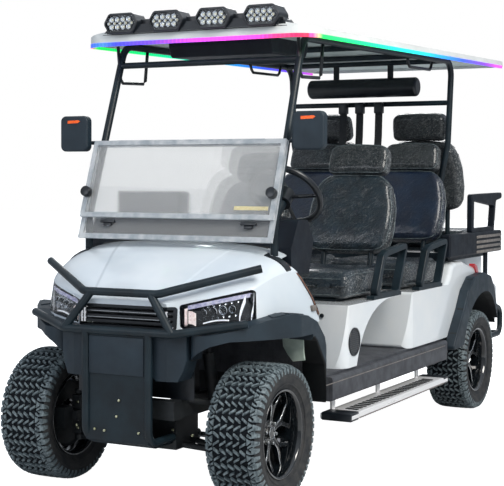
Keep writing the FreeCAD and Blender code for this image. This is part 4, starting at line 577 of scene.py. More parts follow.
# Yellow-green zinc passivate on suspension bolts and links.
zinc_plate = finish_material(
    "zinc_passivated_steel",
    "#b3b58f",
    {"Metallic": 1.0, "Roughness": 0.32},
    bump=grain(1.5, 0.08),
    colour=mixed_colour("#94966f", "#d6d6ba", 9.0),
)
# Grey-brown satin plastic of ribbed ends and lip lines.
taupe_plastic = finish_material(
    "polypropylene_taupe",
    "#6f6a66",
    {"Roughness": 0.5, "IOR": 1.5},
    bump=grain(1.8, 0.15),
    colour=mixed_colour("#625d5a", "#807b76", 40.0),
)
# Grey-green moulded plastic of the liners' tabs inside the front arches, painted pale as painted light so
# that they read bright in the arch's shade.
sage_plastic_painted_light = finish_material(
    "polypropylene_grey_green",
    "#a7b6ab",
    {"Roughness": 0.5, "IOR": 1.5},
    bump=grain(2.0, 0.15),
    colour=mixed_colour("#98a89d", "#b8c5bb", 60.0),
)
# Aged copper-brown edge line beside the cowl seal.
copper_line = finish_material(
    "extruded_edge_copper",
    "#8b5f4f",
    {"Metallic": 0.3, "Roughness": 0.45},
    bump=grain(2.0, 0.08),
    colour=mixed_colour("#7a5144", "#a57864", 30.0),
)
# Pale yellow vinyl label, left blank: matt, a little uneven.
yellow_label = finish_material(
    "vinyl_label_yellow",
    "#e6d27a",
    {"Roughness": 0.5, "IOR": 1.5},
    bump=grain(6.0, 0.05),
    colour=mixed_colour("#dfc766", "#efe2a0", 9.0),
)
# Phosphor faces of the roof lamps' diodes: yellow-white even when off, with a faint painted glow.
diode_face_painted_glow = finish_material(
    "diode_phosphor",
    "#d8cfa8",
    {"Roughness": 0.4, "IOR": 1.5, "Emission Color": linear("#d8cfa8"), "Emission Strength": 0.1},
    bump=grain(1.0, 0.1),
    colour=mixed_colour("#c9b98a", "#ebe6cc", 3.0),
)
# Acrylic windshield sheet, still in its clear protective film, so it is a little milky.
acrylic_sheet = finish_material(
    "acrylic_sheet",
    "#e4e6e7",
    {"Roughness": 0.06, "Transmission Weight": 0.72, "IOR": 1.06, "Alpha": 0.5},
    bump=grain(60.0, 0.1),
)
# The sheet's rim: a translucent blue-grey band where the film is folded over the edge, with fine creases.
acrylic_rim = finish_material(
    "acrylic_rim_filmed",
    "#c3c8cc",
    {
        "Roughness": 0.3,
        "Transmission Weight": 0.2,
        "IOR": 1.3,
        "Alpha": 0.82,
        "Coat Weight": 0.5,
        "Coat Roughness": 0.1,
    },
    bump=grain(14.0, 0.35, 3.0),
    colour=mixed_colour("#a8b1b9", "#d4d8db", 45.0),
)
# Red moulded tail lenses: deep, with a glossy face.
red_lens = finish_material(
    "acrylic_red_lens",
    "#b3121a",
    {
        "Roughness": 0.12,
        "IOR": 1.49,
        "Coat Weight": 1.0,
        "Emission Color": linear("#b3121a"),
        "Emission Strength": 0.15,
    },
    bump=grain(4.0, 0.2),
    colour=mixed_colour("#a00d15", "#c92630", 8.0),
)
# Moulded orange reflector on the mirrors' shells, with a painted glow: it gives off a little light of its
# own.
orange_reflector_painted_glow = finish_material(
    "acrylic_orange_reflector",
    "#e8591c",
    {"Roughness": 0.2, "IOR": 1.49, "Emission Color": linear("#e8591c"), "Emission Strength": 0.25},
    bump=grain(2.5, 0.3),
    colour=mixed_colour("#e04e14", "#f4702c", 6.0),
)


def webbing_weave(tree, where):
    """Belt webbing: threads 1.5 mm apart, drawn 3.8 mm apart along an edge so that they show."""
    weave = add_node(
        tree,
        "ShaderNodeTexWave",
        {"Vector": where, "Scale": 2 * band_pitch(3.77)},
        wave_type="BANDS",
        bands_direction="DIAGONAL",
    )
    return add_node(tree, "ShaderNodeBump", {"Height": (weave, "Fac"), "Distance": 0.5 * MM}), "Normal"


# Woven polyester of the belts: nearly black, matt, with a faint sheen.
belt_webbing = finish_material(
    "polyester_webbing",
    "#14171b",
    {"Roughness": 0.8, "Sheen Weight": 0.3, "IOR": 1.5},
    bump=webbing_weave,
    colour=mixed_colour("#101317", "#20242a", 12.0),
)
# Silvered glass of the mirrors: a clean reflection.
mirror_glass = finish_material(
    "silvered_glass",
    "#e6eaec",
    {"Metallic": 1.0, "Roughness": 0.02},
    bump=grain(80.0, 0.02),
)


DIODE_PITCH_MM = 20.735


def lit_strip(name, axis, stops, low, high):
    """A light strip whose colour runs along one axis between two places, brighter over each diode."""
    material = bpy.data.materials.new(name)
    material.use_nodes = True
    tree = material.node_tree
    shader = tree.nodes["Principled BSDF"]
    where = (add_node(tree, "ShaderNodeTexCoord"), "Object")
    parts = add_node(tree, "ShaderNodeSeparateXYZ", {"Vector": where})
    share = add_node(tree, "ShaderNodeMapRange", {"Value": (parts, axis), "From Min": low, "From Max": high})
    colours = add_node(tree, "ShaderNodeValToRGB", {"Fac": (share, "Result")}, stops)
    diodes = add_node(
        tree,
        "ShaderNodeTexWave",
        {"Vector": where, "Scale": band_pitch(DIODE_PITCH_MM)},
        wave_type="BANDS",
        bands_direction=axis,
    )
    power = add_node(
        tree,
        "ShaderNodeMapRange",
        {"Value": (diodes, "Fac"), "From Min": 0.4, "From Max": 1.0, "To Min": 0.75, "To Max": 1.35},
    )
    tree.links.new(colours.outputs["Color"], shader.inputs["Base Color"])
    tree.links.new(colours.outputs["Color"], shader.inputs["Emission Color"])
    tree.links.new(power.outputs["Result"], shader.inputs["Emission Strength"])
    shader.inputs["Roughness"].default_value = 0.4
    return material


# Meshes
def place_piece(obj, body, material):
    """Puts a piece on its body, with its finish."""
    obj.data.materials.clear()
    obj.data.materials.append(material)
    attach(obj, body)
    return obj


def mesh_piece(name, points, faces, smooth=False):
    """An object made of points and faces."""
    mesh = bpy.data.meshes.new(name)
    mesh.from_pydata([tuple(p) for p in points], [], faces)
    mesh.update()
    if smooth:
        mesh.shade_smooth()
    obj = bpy.data.objects.new(name, mesh)
    bpy.context.scene.collection.objects.link(obj)
    return obj


def joined(name, parts):
    """One mesh piece from a list of (points, faces)."""
    points = []
    faces = []
    for part_points, part_faces in parts:
        start = len(points)
        points.extend(part_points)
        faces.extend([tuple(i + start for i in face) for face in part_faces])
    return mesh_piece(name, points, faces)


def bevelled(obj, width, segments):
    """Rounds the sharp edges of a piece."""
    modifier = obj.modifiers.new("bevel", "BEVEL")
    modifier.width = width
    modifier.segments = segments
    modifier.limit_method = "ANGLE"
    modifier.angle_limit = math.radians(30)
    bpy.context.view_layer.update()
    graph = bpy.context.evaluated_depsgraph_get()
    mesh = bpy.data.meshes.new_from_object(obj.evaluated_get(graph))
    obj.modifiers.clear()
    sharp = obj.data
    obj.data = mesh
    bpy.data.meshes.remove(sharp)
    obj.data.shade_smooth()
    return obj


def faced_out(obj):
    """Turns every face of a closed piece outward."""
    work = bmesh.new()
    work.from_mesh(obj.data)
    bmesh.ops.recalc_face_normals(work, faces=work.faces)
    work.to_mesh(obj.data)
    work.free()
    return obj


def add_part(name, parts, finish, body="root", bevel=None):
    """Joins parts into one piece on a body. bevel is the width and the segments of its rounded edges."""
    piece = joined(name, parts)
    if bevel:
        bevelled(piece, *bevel)
    return place_piece(piece, body, finish)


def circle_points(centre, side, other, radius, count, start=0.0):
    """Points round a circle that lies along two directions."""
    turns = [2 * math.pi * (i + start) / count for i in range(count)]
    return [centre + (side * math.cos(turn) + other * math.sin(turn)) * radius for turn in turns]


def tube_faces(rings, sides):
    """The quads between closed rings of points that follow each other."""
    faces = []
    for ring in range(rings - 1):
        for k in range(sides):
            a = ring * sides + k
            b = ring * sides + (k + 1) % sides
            faces.append((a, b, b + sides, a + sides))
    return faces


def grid_faces(rows, across, first=0):
    """The quads of a grid of points."""
    faces = []
    for i in range(rows - 1):
        for k in range(across - 1):
            a = first + i * across + k
            faces.append((a, a + 1, a + across + 1, a + across))
    return faces


def grid_edge(rows, across):
    """The point numbers round the edge of a grid."""
    last = (rows - 1) * across
    edge = list(range(across)) + [i * across + across - 1 for i in range(1, rows)]
    return edge + [last + k for k in range(across - 2, -1, -1)] + [i * across for i in range(rows - 2, 0, -1)]


def slab(corners_low, corners_high):
    """A closed block between two loops of corners in the same order."""
    count = len(corners_low)
    points = list(corners_low) + list(corners_high)
    faces = [tuple(reversed(range(count))), tuple(range(count, count * 2))]
    for i in range(count):
        j = (i + 1) % count
        faces.append((i, j, count + j, count + i))
    return points, faces


def box_part(low, high):
    """A block between its lowest and highest corners."""
    x0, y0, z0 = low
    x1, y1, z1 = high
    outline = ((x0, y0), (x1, y0), (x1, y1), (x0, y1))
    return slab([Vector((x, y, z0)) for x, y in outline], [Vector((x, y, z1)) for x, y in outline])


def side_box(side, x_range, y_range, z_range):
    """A block on the left or the right, its X given as distances out from the middle."""
    x0, x1 = sorted((side * x_range[0], side * x_range[1]))
    return box_part((x0, y_range[0], z_range[0]), (x1, y_range[1], z_range[1]))


def rod_part(start, end, radius, sides=16):
    """A round bar between two points."""
    start, end = Vector(start), Vector(end)
    way = (end - start).normalized()
    side = way.orthogonal().normalized()
    other = way.cross(side)
    return slab(*[circle_points(centre, side, other, radius, sides) for centre in (start, end)])


def hex_bolt_part(centre, way, across, height):
    """A hexagon head standing on a surface at centre, a little narrower at its top."""
    centre, way = Vector(centre), Vector(way).normalized()
    side = way.orthogonal().normalized()
    other = way.cross(side)
    foot = circle_points(centre, side, other, across / 2, 6)
    top = circle_points(centre + way * height, side, other, across * 0.46, 6)
    return slab(foot, top)


def round_axle(centre, x, radius, turn):
    """A place at a distance along an axle and a radius from it, turned from straight back."""
    return Vector((centre[0] + x, centre[1] + radius * math.cos(turn), centre[2] + radius * math.sin(turn)))


def revolved(profile, steps, centre):
    """Points and faces of (x, radius) profile points turned about an X axis through centre."""
    count = len(profile)
    points = [round_axle(centre, x, r, 2 * math.pi * i / steps) for i in range(steps) for x, r in profile]
    faces = []
    for i in range(steps):
        j = (i + 1) % steps
        for k in range(count - 1):
            faces.append((i * count + k, j * count + k, j * count + k + 1, i * count + k + 1))
    return points, faces


def bar_piece(name, points):
    """A closed bar through rings of four points."""
    last = len(points) - 4
    ends = [(3, 2, 1, 0), (last, last + 1, last + 2, last + 3)]
    return mesh_piece(name, points, tube_faces(len(points) // 4, 4) + ends)


def way_along(path, i):
    """The direction of a path of points at one of them."""
    return (path[min(len(path) - 1, i + 1)] - path[max(0, i - 1)]).normalized()


def strap_piece(name, path, width, thickness, across):
    """A flat strap along a path of points, its width laid along across."""
    points = []
    for i, here in enumerate(path):
        out = across.cross(way_along(path, i)).normalized()
        for s, t in ((-1, -1), (1, -1), (1, 1), (-1, 1)):
            points.append(here + across * (s * width / 2) + out * (t * thickness / 2))
    return bar_piece(name, points)


def bead(name, path, radius, sides=8):
    """A round cord through the points of a path."""
    points = []
    for i, here in enumerate(path):
        way = way_along(path, i)
        side = way.cross(UP if abs(way.z) < 0.9 else BACKWARD).normalized()
        points += circle_points(here, side, side.cross(way), radius, sides)
    last = (len(path) - 1) * sides
    ends = [tuple(reversed(range(sides))), tuple(range(last, last + sides))]
    return mesh_piece(name, points, tube_faces(len(path), sides) + ends, smooth=True)


def lofted(rows, lift):
    """A thin pad over rows of points that lie on a surface, raised by lift and open underneath."""
    across = len(rows[0])
    low = [p for row in rows for p in row]
    count = len(low)
    faces = grid_faces(len(rows), across, count)
    edge = grid_edge(len(rows), across)
    for i, a in enumerate(edge):
        b = edge[(i + 1) % len(edge)]
        faces.append((a, b, count + b, count + a))
    return low + [p + lift for p in low], faces


def dish_part(centre, radius, depth, section, sides, start=0.0):
    """A dished reflector open to the front. section gives each ring as shares of the radius and the depth."""
    points = []
    for share, back in section:
        middle = Vector(centre) + BACKWARD * depth * back
        points += circle_points(middle, ACROSS, UP, radius * share, sides, start)
    last = (len(section) - 1) * sides
    return points, tube_faces(len(section), sides) + [tuple(range(last, last + sides))]


def skin(node_name):
    """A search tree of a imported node's faces, for laying small parts on them."""
    node = NODES[node_name]
    points = [node.matrix_world @ v.co for v in node.data.vertices]
    return BVHTree.FromPolygons(points, [tuple(f.vertices) for f in node.data.polygons])


def onto(surface, start, way):
    """The first place on a surface from a start along a way, or None."""
    return surface.ray_cast(Vector(start), Vector(way).normalized())[0]


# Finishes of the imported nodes
FINISHES = {
    "knuckle_left": chassis_paint,
    "knuckle_right": chassis_paint,
    "steering_rack": turned_steel,
    "front_suspension": chassis_paint,
    "shock_absorbers": chassis_paint,
    "chassis_frame": chassis_paint,
    "rear_axle": chassis_paint,
    "motor": chassis_paint,
    "battery": black_plastic,
    "steering_column": powder_coat,
    "steering_wheel": black_plastic,
    "floor_pan": floor_rubber,
    "running_boards": brushed_aluminium,
    "hood": hood_body_painted_shade,
    "headlight_lenses": clear_lens,
    "headlight_housings": black_plastic,
    "grille": black_plastic,
    "front_bumper": slate_plastic,
    "wheel_flares": flare_plastic_painted_shade,
    "brush_guard": powder_coat,
    "canopy_frame": powder_coat,
    "windshield_lower_frame": acrylic_rim,
    "windshield_lower_glass": acrylic_sheet,
    "windshield_upper_frame": acrylic_rim,
    "windshield_upper_glass": acrylic_sheet,
    "dashboard": dash_plastic_painted_shade,
    "mirrors": slate_plastic,
    "roof_shell": white_roof,
    "roof_liner": grey_ceiling_painted_light,
    "roof_console": dash_plastic_painted_shade,
    "light_bar": black_plastic,
    "sound_bar": black_plastic,
    "front_seat_base": white_body,
    "rear_body": white_body,
    "tail_lights": red_lens,
    "seat_box": slate_plastic,
    "seat_frames": powder_coat,
    "seat_cushions": film_vinyl,
    "seat_backs": film_vinyl,
    "rear_seat_cushion": film_vinyl,
    "rear_armrests": dash_plastic_painted_shade,
    "rear_step": powder_coat,
}
for row_name, _ in AXLES:
    for side_name, _ in SIDES:
        FINISHES["rim_%s_%s" % (row_name, side_name)] = rim_lacquer
        FINISHES["tyre_%s_%s" % (row_name, side_name)] = tyre_rubber

for node_name, finish in FINISHES.items():
    node = NODES[node_name]
    node.data.materials.clear()
    node.data.materials.append(finish)


# Tyres
TREAD_ROWS = 56
TREAD_RADIUS = 0.2915
TREAD_EDGE_X = 0.109
CARCASS_PROFILE = (
    (-0.090, 0.1783),
    (-0.101, 0.196),
    (-0.113, 0.222),
    (-0.1175, 0.244),
    (-0.116, 0.262),
    (-0.106, 0.276),
    (-0.080, 0.281),
    (0.0, 0.2825),
    (0.080, 0.281),
    (0.106, 0.276),
    (0.116, 0.262),
    (0.1175, 0.244),
    (0.113, 0.222),
    (0.101, 0.196),
    (0.090, 0.1783),
)
# Raised rings on the side walls, as (radius, distance from the middle plane)
WALL_RINGS = ((0.206, 0.1085), (0.240, 0.1168))
BAR_COLUMNS = (-2, -1, 0, 1, 2)
BAR_PITCH = 0.0300
BAR_HALF_LENGTH = 0.0132
BAR_HALF_WIDTH = 0.0056
BAR_RISE = 0.0088
# Shoulder blocks of one pitch of two rows, as (distance from the middle plane, distance round) in mm
SHOULDER_BLOCKS = (
    ((77, -30), (98, -17), (78, 1)),
    ((80, 5), (104, -14), (107, -5), (82, 14)),
    ((87, 14), (107, 0), (107, 27)),
    ((77, 18), (80, 19), (101, 33), (94, 36), (77, 30)),
)
# Shoulder lugs of the same pitch, as (distance round, width)
SHOULDER_LUGS = ((-0.010, 0.024), (0.021, 0.026))


def crown(x):
    """The tread's outer radius at a distance from the tyre's middle plane: it drops slowly, then fast."""
    return TREAD_RADIUS - 0.26 * abs(x) ** 2 - (max(0.0, abs(x) - 0.085) ** 2) * 18.0


def groove_floor(x):
    """The radius at which a tread block starts, just inside the carcass."""
    return 0.2805 - max(0.0, abs(x) - 0.09) * 0.35


def tread_block(centre, outline):
    """A tread block: (x, distance round) points carried out to the crown, where the block is narrower."""
    middle_x = sum(p[0] for p in outline) / len(outline)
    middle_s = sum(p[1] for p in outline) / len(outline)
    loops = []
    for share, radius_at in ((1.0, groove_floor), (0.88, crown)):
        loop = []
        for x, s in outline:
            block_x = middle_x + (x - middle_x) * share
            turn = (middle_s + (s - middle_s) * share) / TREAD_RADIUS
            loop.append(round_axle(centre, block_x, radius_at(block_x), turn))
        loops.append(loop)
    return slab(*loops)


def shoulder_lug(centre, s, width, side):
    """A lug that wraps from the tread's edge down the upper side wall."""
    outer = ((0.098, crown(0.098)), (0.1135, 0.2785), (0.1178, 0.262), (0.1180, 0.250))
    inner = ((0.098, 0.272), (0.108, 0.270), (0.1145, 0.258), (0.1165, 0.250))
    points = []
    for k, pair in enumerate(zip(outer, inner)):
        half = width / 2 * (1.0 - 0.16 * k)
        for offset in (-half, half):
            for x, r in pair:
                points.append(round_axle(centre, side * x, r, (s + offset) / TREAD_RADIUS))
    faces = []
    for a in (0, 4, 8):
        b = a + 4
        faces += [(a, b, b + 2, a + 2), (a, a + 1, b + 1, b), (a + 2, b + 2, b + 3, a + 3)]
    return points, faces + [(0, 2, 3, 1), (12, 13, 15, 14)]


def build_tyre(name, centre):
    """A tyre: smooth carcass, herringbone bars in the middle, triangular shoulder blocks and side lugs."""
    parts = [revolved(CARCASS_PROFILE, 96, centre)]
    for radius, x in WALL_RINGS:
        for side in (-1, 1):
            ring = ((x - 0.002, radius - 0.004), (x + 0.0022, radius), (x + 0.0005, radius + 0.004))
            parts.append(revolved([(side * out, r) for out, r in ring], 96, centre))
    carcass = joined(name, parts)
    carcass.data.shade_smooth()
    blocks = []
    pitch = 2 * math.pi * TREAD_RADIUS / TREAD_ROWS
    for row in range(TREAD_ROWS):
        s = row * pitch
        rise = BAR_RISE if row % 2 else -BAR_RISE
        for column in BAR_COLUMNS:
            x = column * BAR_PITCH
            outline = [
                (x - BAR_HALF_LENGTH, s - rise - BAR_HALF_WIDTH),
                (x + BAR_HALF_LENGTH, s + rise - BAR_HALF_WIDTH),
                (x + BAR_HALF_LENGTH, s + rise + BAR_HALF_WIDTH),
                (x - BAR_HALF_LENGTH, s - rise + BAR_HALF_WIDTH),
            ]
            blocks.append(tread_block(centre, outline))
        if row % 2:
            continue
        for side in (-1, 1):
            for points in SHOULDER_BLOCKS:
                outline = [(side * x * MM, s + round_mm * MM) for x, round_mm in points]
                blocks.append(tread_block(centre, outline))
            for offset, width in SHOULDER_LUGS:
                blocks.append(shoulder_lug(centre, s + offset, width, side))
    return carcass, faced_out(joined(name + "_tread", blocks))


for row_name, axle_y in AXLES:
    for side_name, side in SIDES:
        centre = (side * HALF_TRACK, axle_y, AXLE_Z)
        key = "%s_%s" % (row_name, side_name)
        carcass, tread = build_tyre("tyre_" + key + "_carcass", centre)
        place_piece(carcass, "wheel_" + key, tyre_rubber)
        carcass.data.materials.append(groove_rubber_painted_shade)
        # Painted shade: carcass faces between the tread blocks take the near-black groove colour.
        for face in carcass.data.polygons:
            out = face.center - Vector(centre)
            if abs(out.x) < TREAD_EDGE_X and math.hypot(out.y, out.z) > 0.27:
                face.material_index = 1
        place_piece(tread, "wheel_" + key, tread_rubber_painted_light)
        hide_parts("tyre_" + key)


# Wheels: forked spokes with bright cut edges, a hexagonal cap and lug nuts
SPOKES = 6
SPOKE_PITCH = 360.0 / SPOKES
FIRST_SPOKE = 12.0
RIM_PROFILE = (
    (0.0905, 0.1775),
    (0.0935, 0.1865),
    (0.1000, 0.1870),
    (0.1020, 0.1835),
    (0.0990, 0.1760),
    (0.0860, 0.1700),
    (0.0600, 0.1680),
    (0.0150, 0.1620),
    (-0.0600, 0.1620),
    (-0.0860, 0.1670),
    (-0.0990, 0.1740),
    (-0.1020, 0.1835),
    (-0.1000, 0.1870),
    (-0.0935, 0.1865),
    (-0.0905, 0.1775),
    (0.0905, 0.1775),
)
HUB_PROFILE = ((0.004, 0.0), (0.004, 0.062), (0.034, 0.056), (0.038, 0.050), (0.038, 0.0))
# One forked spoke, as (radius, half angle) in metres and degrees: out along its side and back round the
# fork's window
FORK_OUTER = ((0.040, 21.0), (0.070, 10.5), (0.098, 9.0), (0.125, 14.5), (0.150, 18.5), (0.1640, 20.0))
FORK_INNER = ((0.1640, 13.0), (0.150, 11.0), (0.128, 6.5), (0.112, 0.0))
SPOKE_THICKNESS = 0.026
RIM_FACE = 0.040


def rim_place(centre, side, radius, degrees, depth):
    """A point of the wheel at a radius and an angle, at a distance out from the tyre's middle plane."""
    turn = math.radians(degrees)
    y = centre[1] + radius * math.sin(turn)
    z = centre[2] + radius * math.cos(turn)
    return Vector((centre[0] + side * depth, y, z))


def spoke_depth(radius):
    """The spoke's front: low at the hub, rising to the barrel."""
    return RIM_FACE + 0.010 * max(0.0, (radius - 0.05) / 0.115) ** 1.5


def spoke_arms(centre, side, start):
    """The two arms of one fork, each as its back and front loops."""
    arms = []
    for hand in (-1, 1):
        outline = [(r, hand * a) for r, a in FORK_OUTER + FORK_INNER] + [(FORK_OUTER[0][0], 0.0)]
        front = []
        back = []
        for r, a in outline:
            front.append(rim_place(centre, side, r, start + a, spoke_depth(r)))
            back.append(rim_place(centre, side, r * 0.995, start + a * 0.9, spoke_depth(r) - SPOKE_THICKNESS))
        arms.append((back, front) if hand * side > 0 else (back[::-1], front[::-1]))
    return arms


def edge_strip(centre, side, start, line, width):
    """A narrow bright band along one edge of a spoke's front, line given as (radius, angle) points."""
    points = []
    for radius, angle in line:
        inward = math.degrees(width / radius) * (-1 if angle > 0 else 1)
        for a, lift in ((angle, -0.0012), (angle + inward, 0.0006)):
            points.append(rim_place(centre, side, radius, start + a, spoke_depth(radius) + lift))
    faces = [(2 * i, 2 * i + 1, 2 * i + 3, 2 * i + 2) for i in range(len(line) - 1)]
    return points, faces


for row_name, axle_y in AXLES:
    for side_name, side in SIDES:
        key = "%s_%s" % (row_name, side_name)
        wheel = "wheel_" + key
        centre = (side * HALF_TRACK, axle_y, AXLE_Z)
        outward = (side, 0, 0)
        parts = [
            revolved([(side * x, r) for x, r in RIM_PROFILE], 96, centre),
            revolved([(side * x, r) for x, r in HUB_PROFILE], 48, centre),
        ]
        edges = []
        for i in range(SPOKES):
            start = SPOKE_PITCH * i + FIRST_SPOKE
            parts += [slab(*arm) for arm in spoke_arms(centre, side, start)]
            for hand in (-1, 1):
                for line, width in ((FORK_OUTER[1:], 0.0022), (FORK_INNER[:3], -0.0018)):
                    edges.append(edge_strip(centre, side, start, [(r, hand * a) for r, a in line], width))
        rim = bevelled(faced_out(joined("rim_cast_" + key, parts)), 0.0016, 2)
        place_piece(rim, wheel, rim_lacquer)
        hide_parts("rim_" + key)
        add_part("rim_cut_edges_" + key, edges, machined_alloy, wheel)
        nuts = []
        for i in range(SPOKES):
            nut = rim_place(centre, side, 0.046, SPOKE_PITCH * (i + 0.5) + FIRST_SPOKE, RIM_FACE - 0.004)
            nuts.append(hex_bolt_part(nut, outward, 0.016, 0.014))
        add_part("lug_nuts_" + key, nuts, turned_steel, wheel, (0.0012, 2))
        hub_face = (centre[0] + side * (RIM_FACE - 0.003), axle_y, AXLE_Z)
        cap = [hex_bolt_part(hub_face, outward, 0.058, 0.012)]
        add_part("centre_cap_" + key, cap, rim_lacquer, wheel, (0.0015, 2))
        corners = [rim_place(centre, side, 0.0275, 60.0 * i + 30.0, RIM_FACE + 0.0095) for i in range(7)]
        ring = [rod_part(a, b, 0.0014, 8) for a, b in zip(corners, corners[1:])]
        add_part("centre_cap_edge_" + key, ring, machined_alloy, wheel)


# Light strip under the roof's edge
ROOF_FRONT_Y = FRONT_AXLE_Y + 0.290
ROOF_REAR_Y = REAR_AXLE_Y + 0.470
ROOF_HALF_FRONT = 0.585
ROOF_HALF_REAR = 0.636
ROOF_EDGE_FRONT_Z = 1.966
ROOF_EDGE_REAR_Z = 2.042
ROOF_CORNER = 0.110
UNDER_ROOF_Y = 0.3
STRIP_TOP = 0.004
STRIP_LOW = -0.013
STRIP_PROUD = 0.004
# The number of the path's point, halfway round the corner, at which the side's strip starts
STRIP_SPLIT = 17
FRONT_COLOURS = [
    (0.0, "#3a50ff"),
    (0.10, "#3f7cff"),
    (0.16, "#3440f0"),
    (0.34, "#6a3cf0"),
    (0.48, "#b93cf5"),
    (0.64, "#f03cf0"),
    (0.78, "#ff3cd0"),
    (0.88, "#e02c78"),
    (1.0, "#c8284a"),
]
SIDE_COLOURS = [
    (0.0, "#e0304c"),
    (0.02, "#ff4c9a"),
    (0.045, "#20f060"),
    (0.22, "#18f08a"),
    (0.40, "#18e8c8"),
    (0.55, "#20a0f0"),
    (0.70, "#3458ff"),
    (0.84, "#7a40f0"),
    (0.93, "#c84cf0"),
    (1.0, "#ff5c90"),
]


def roof_edge(y):
    """The roof's half width and the height of its edge at a place along it."""
    share = (y - ROOF_FRONT_Y) / (ROOF_REAR_Y - ROOF_FRONT_Y)
    half = ROOF_HALF_FRONT + (ROOF_HALF_REAR - ROOF_HALF_FRONT) * share
    return half, ROOF_EDGE_FRONT_Z + (ROOF_EDGE_REAR_Z - ROOF_EDGE_FRONT_Z) * share


def strip_path(side, inset):
    """The roof's edge from the middle of the front, round the corner and back along one side."""
    path = []
    for i in range(13):
        x = (ROOF_HALF_FRONT - ROOF_CORNER) * i / 12
        path.append(Vector((side * x, ROOF_FRONT_Y + inset, 0)))
    centre_y = ROOF_FRONT_Y + ROOF_CORNER
    reach = ROOF_CORNER - inset
    for i in range(1, 9):
        turn = math.pi / 2 * i / 9
        x = roof_edge(centre_y)[0] - ROOF_CORNER + reach * math.sin(turn)
        path.append(Vector((side * x, centre_y - reach * math.cos(turn), 0)))
    for i in range(41):
        y = centre_y + (ROOF_REAR_Y - ROOF_CORNER - centre_y) * i / 40
        path.append(Vector((side * (roof_edge(y)[0] - inset), y, 0)))
    return path


def strip_mesh(name, path):
    """A thin bar that follows the roof's edge."""
    points = []
    for i, place in enumerate(path):
        out = way_along(path, i).cross(UP)
        if out.dot(place - BACKWARD * UNDER_ROOF_Y) < 0:
            out = -out
        here = place + UP * roof_edge(place.y)[1]
        for lift, proud in ((STRIP_TOP, 1), (STRIP_LOW, 1), (STRIP_LOW, -1), (STRIP_TOP, -1)):
            points.append(here + UP * lift + out * (proud * STRIP_PROUD))
    return bar_piece(name, points)


front_glow = lit_strip("light_strip_front", "X", FRONT_COLOURS, -0.585, 0.560)
side_glow = lit_strip("light_strip_side", "Y", SIDE_COLOURS, ROOF_FRONT_Y, ROOF_REAR_Y)
for side_name, side in SIDES:
    path = strip_path(side, 0.002)
    front_run = strip_mesh("light_strip_front_" + side_name, path[: STRIP_SPLIT + 1])
    side_run = strip_mesh("light_strip_side_" + side_name, path[STRIP_SPLIT:])
    place_piece(front_run, "root", front_glow)
    place_piece(side_run, "root", side_glow)


# Roof lamps: diode cups behind each pod's clear cover, a skirt below the bar and an apron behind its foot
bar_low, bar_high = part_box("light_bar")
POD_FACE_Y = bar_low.y
POD_Z = bar_high.z - 0.047
POD_PITCH = 0.240
POD_OUTLINE = (
    (-0.082, 0.0),
    (-0.058, -0.036),
    (0.058, -0.036),
    (0.082, 0.0),
    (0.058, 0.036),
    (-0.058, 0.036),
)
CUP_PITCH = 0.0300
# Lines of cups: height over the pod's middle, number of cups and their radius
CUP_LINES = ((0.0165, 4, 0.0130), (-0.0165, 4, 0.0130), (0.0, 5, 0.0090))
CUP_SECTION = ((1.0, 0.0), (0.9, 0.05), (0.62, 0.65), (0.3, 1.0))
SKIRT_SECTION = (
    (0.480, -1.276, 2.0015),
    (0.458, -1.264, 2.0300),
    (0.458, -1.200, 2.0420),
    (0.480, -1.200, 2.0150),
)

skirt = slab(*[[Vector((hand * x, y, z)) for x, y, z in SKIRT_SECTION] for hand in (-1, 1)])
add_part("roof_lamp_skirt", [skirt], black_plastic, bevel=(0.003, 2))
for index in range(4):
    x = (index - 1.5) * POD_PITCH
    cups = []
    studs = []
    for lift, count, radius in CUP_LINES:
        for place in range(count):
            at = Vector((x + (place - (count - 1) / 2) * CUP_PITCH, POD_FACE_Y, POD_Z + lift))
            cups.append(dish_part(at + BACKWARD * 0.0015, radius, 0.006, CUP_SECTION, 6, start=0.5))
            studs.append(rod_part(at + BACKWARD * 0.0030, at + BACKWARD * 0.0085, 0.0028, 8))
    add_part("roof_lamp_cups_%d" % index, cups, plated_reflector)
    add_part("roof_lamp_diodes_%d" % index, studs, diode_face_painted_glow)
    faces_y = (POD_FACE_Y + 0.0012, POD_FACE_Y - 0.0004)
    cover = slab(*[[Vector((x + out, y, POD_Z + lift)) for out, lift in POD_OUTLINE] for y in faces_y])
    add_part("roof_lamp_lens_%d" % index, [cover], clear_lens)
apron_xs = [-0.440 + 0.880 * i / 12 for i in range(13)]
apron_foot = [Vector((x, POD_FACE_Y + 0.016, POD_Z - 0.046)) for x in apron_xs]
apron_head = [Vector((x, POD_FACE_Y + 0.024, POD_Z - 0.006)) for x in apron_xs]
apron = lofted([apron_foot, apron_head], Vector((0, -0.003, 0)))
add_part("roof_lamp_apron", [apron], black_plastic)


# Headlights: a recessed bowl behind each lens with lamps, a plated bar and light guides
LAMP_CORNERS = ((0.250, 0.728), (0.516, 0.762), (0.503, 0.890), (0.243, 0.824))
LAMP_COLUMNS = 13
LAMP_ROWS = 7
FACET_SECTION = ((1.0, 0.0), (0.92, -0.1), (0.7, 0.55), (0.42, 1.0))
# Projector lamps, as shares out and up and a radius
PROJECTORS = ((0.30, 0.50, 0.0185), (0.44, 0.50, 0.0195), (0.58, 0.50, 0.0205), (0.71, 0.48, 0.0175))
AHEAD_Y = -3.0
housing_skin = skin("headlight_housings")


def lamp_xz(out, up):
    """A place in a left lamp's face: out from its inner end and up from its lower edge, both as shares."""
    low = Vector(LAMP_CORNERS[0]).lerp(Vector(LAMP_CORNERS[1]), out)
    high = Vector(LAMP_CORNERS[3]).lerp(Vector(LAMP_CORNERS[2]), out)
    return low.lerp(high, up)


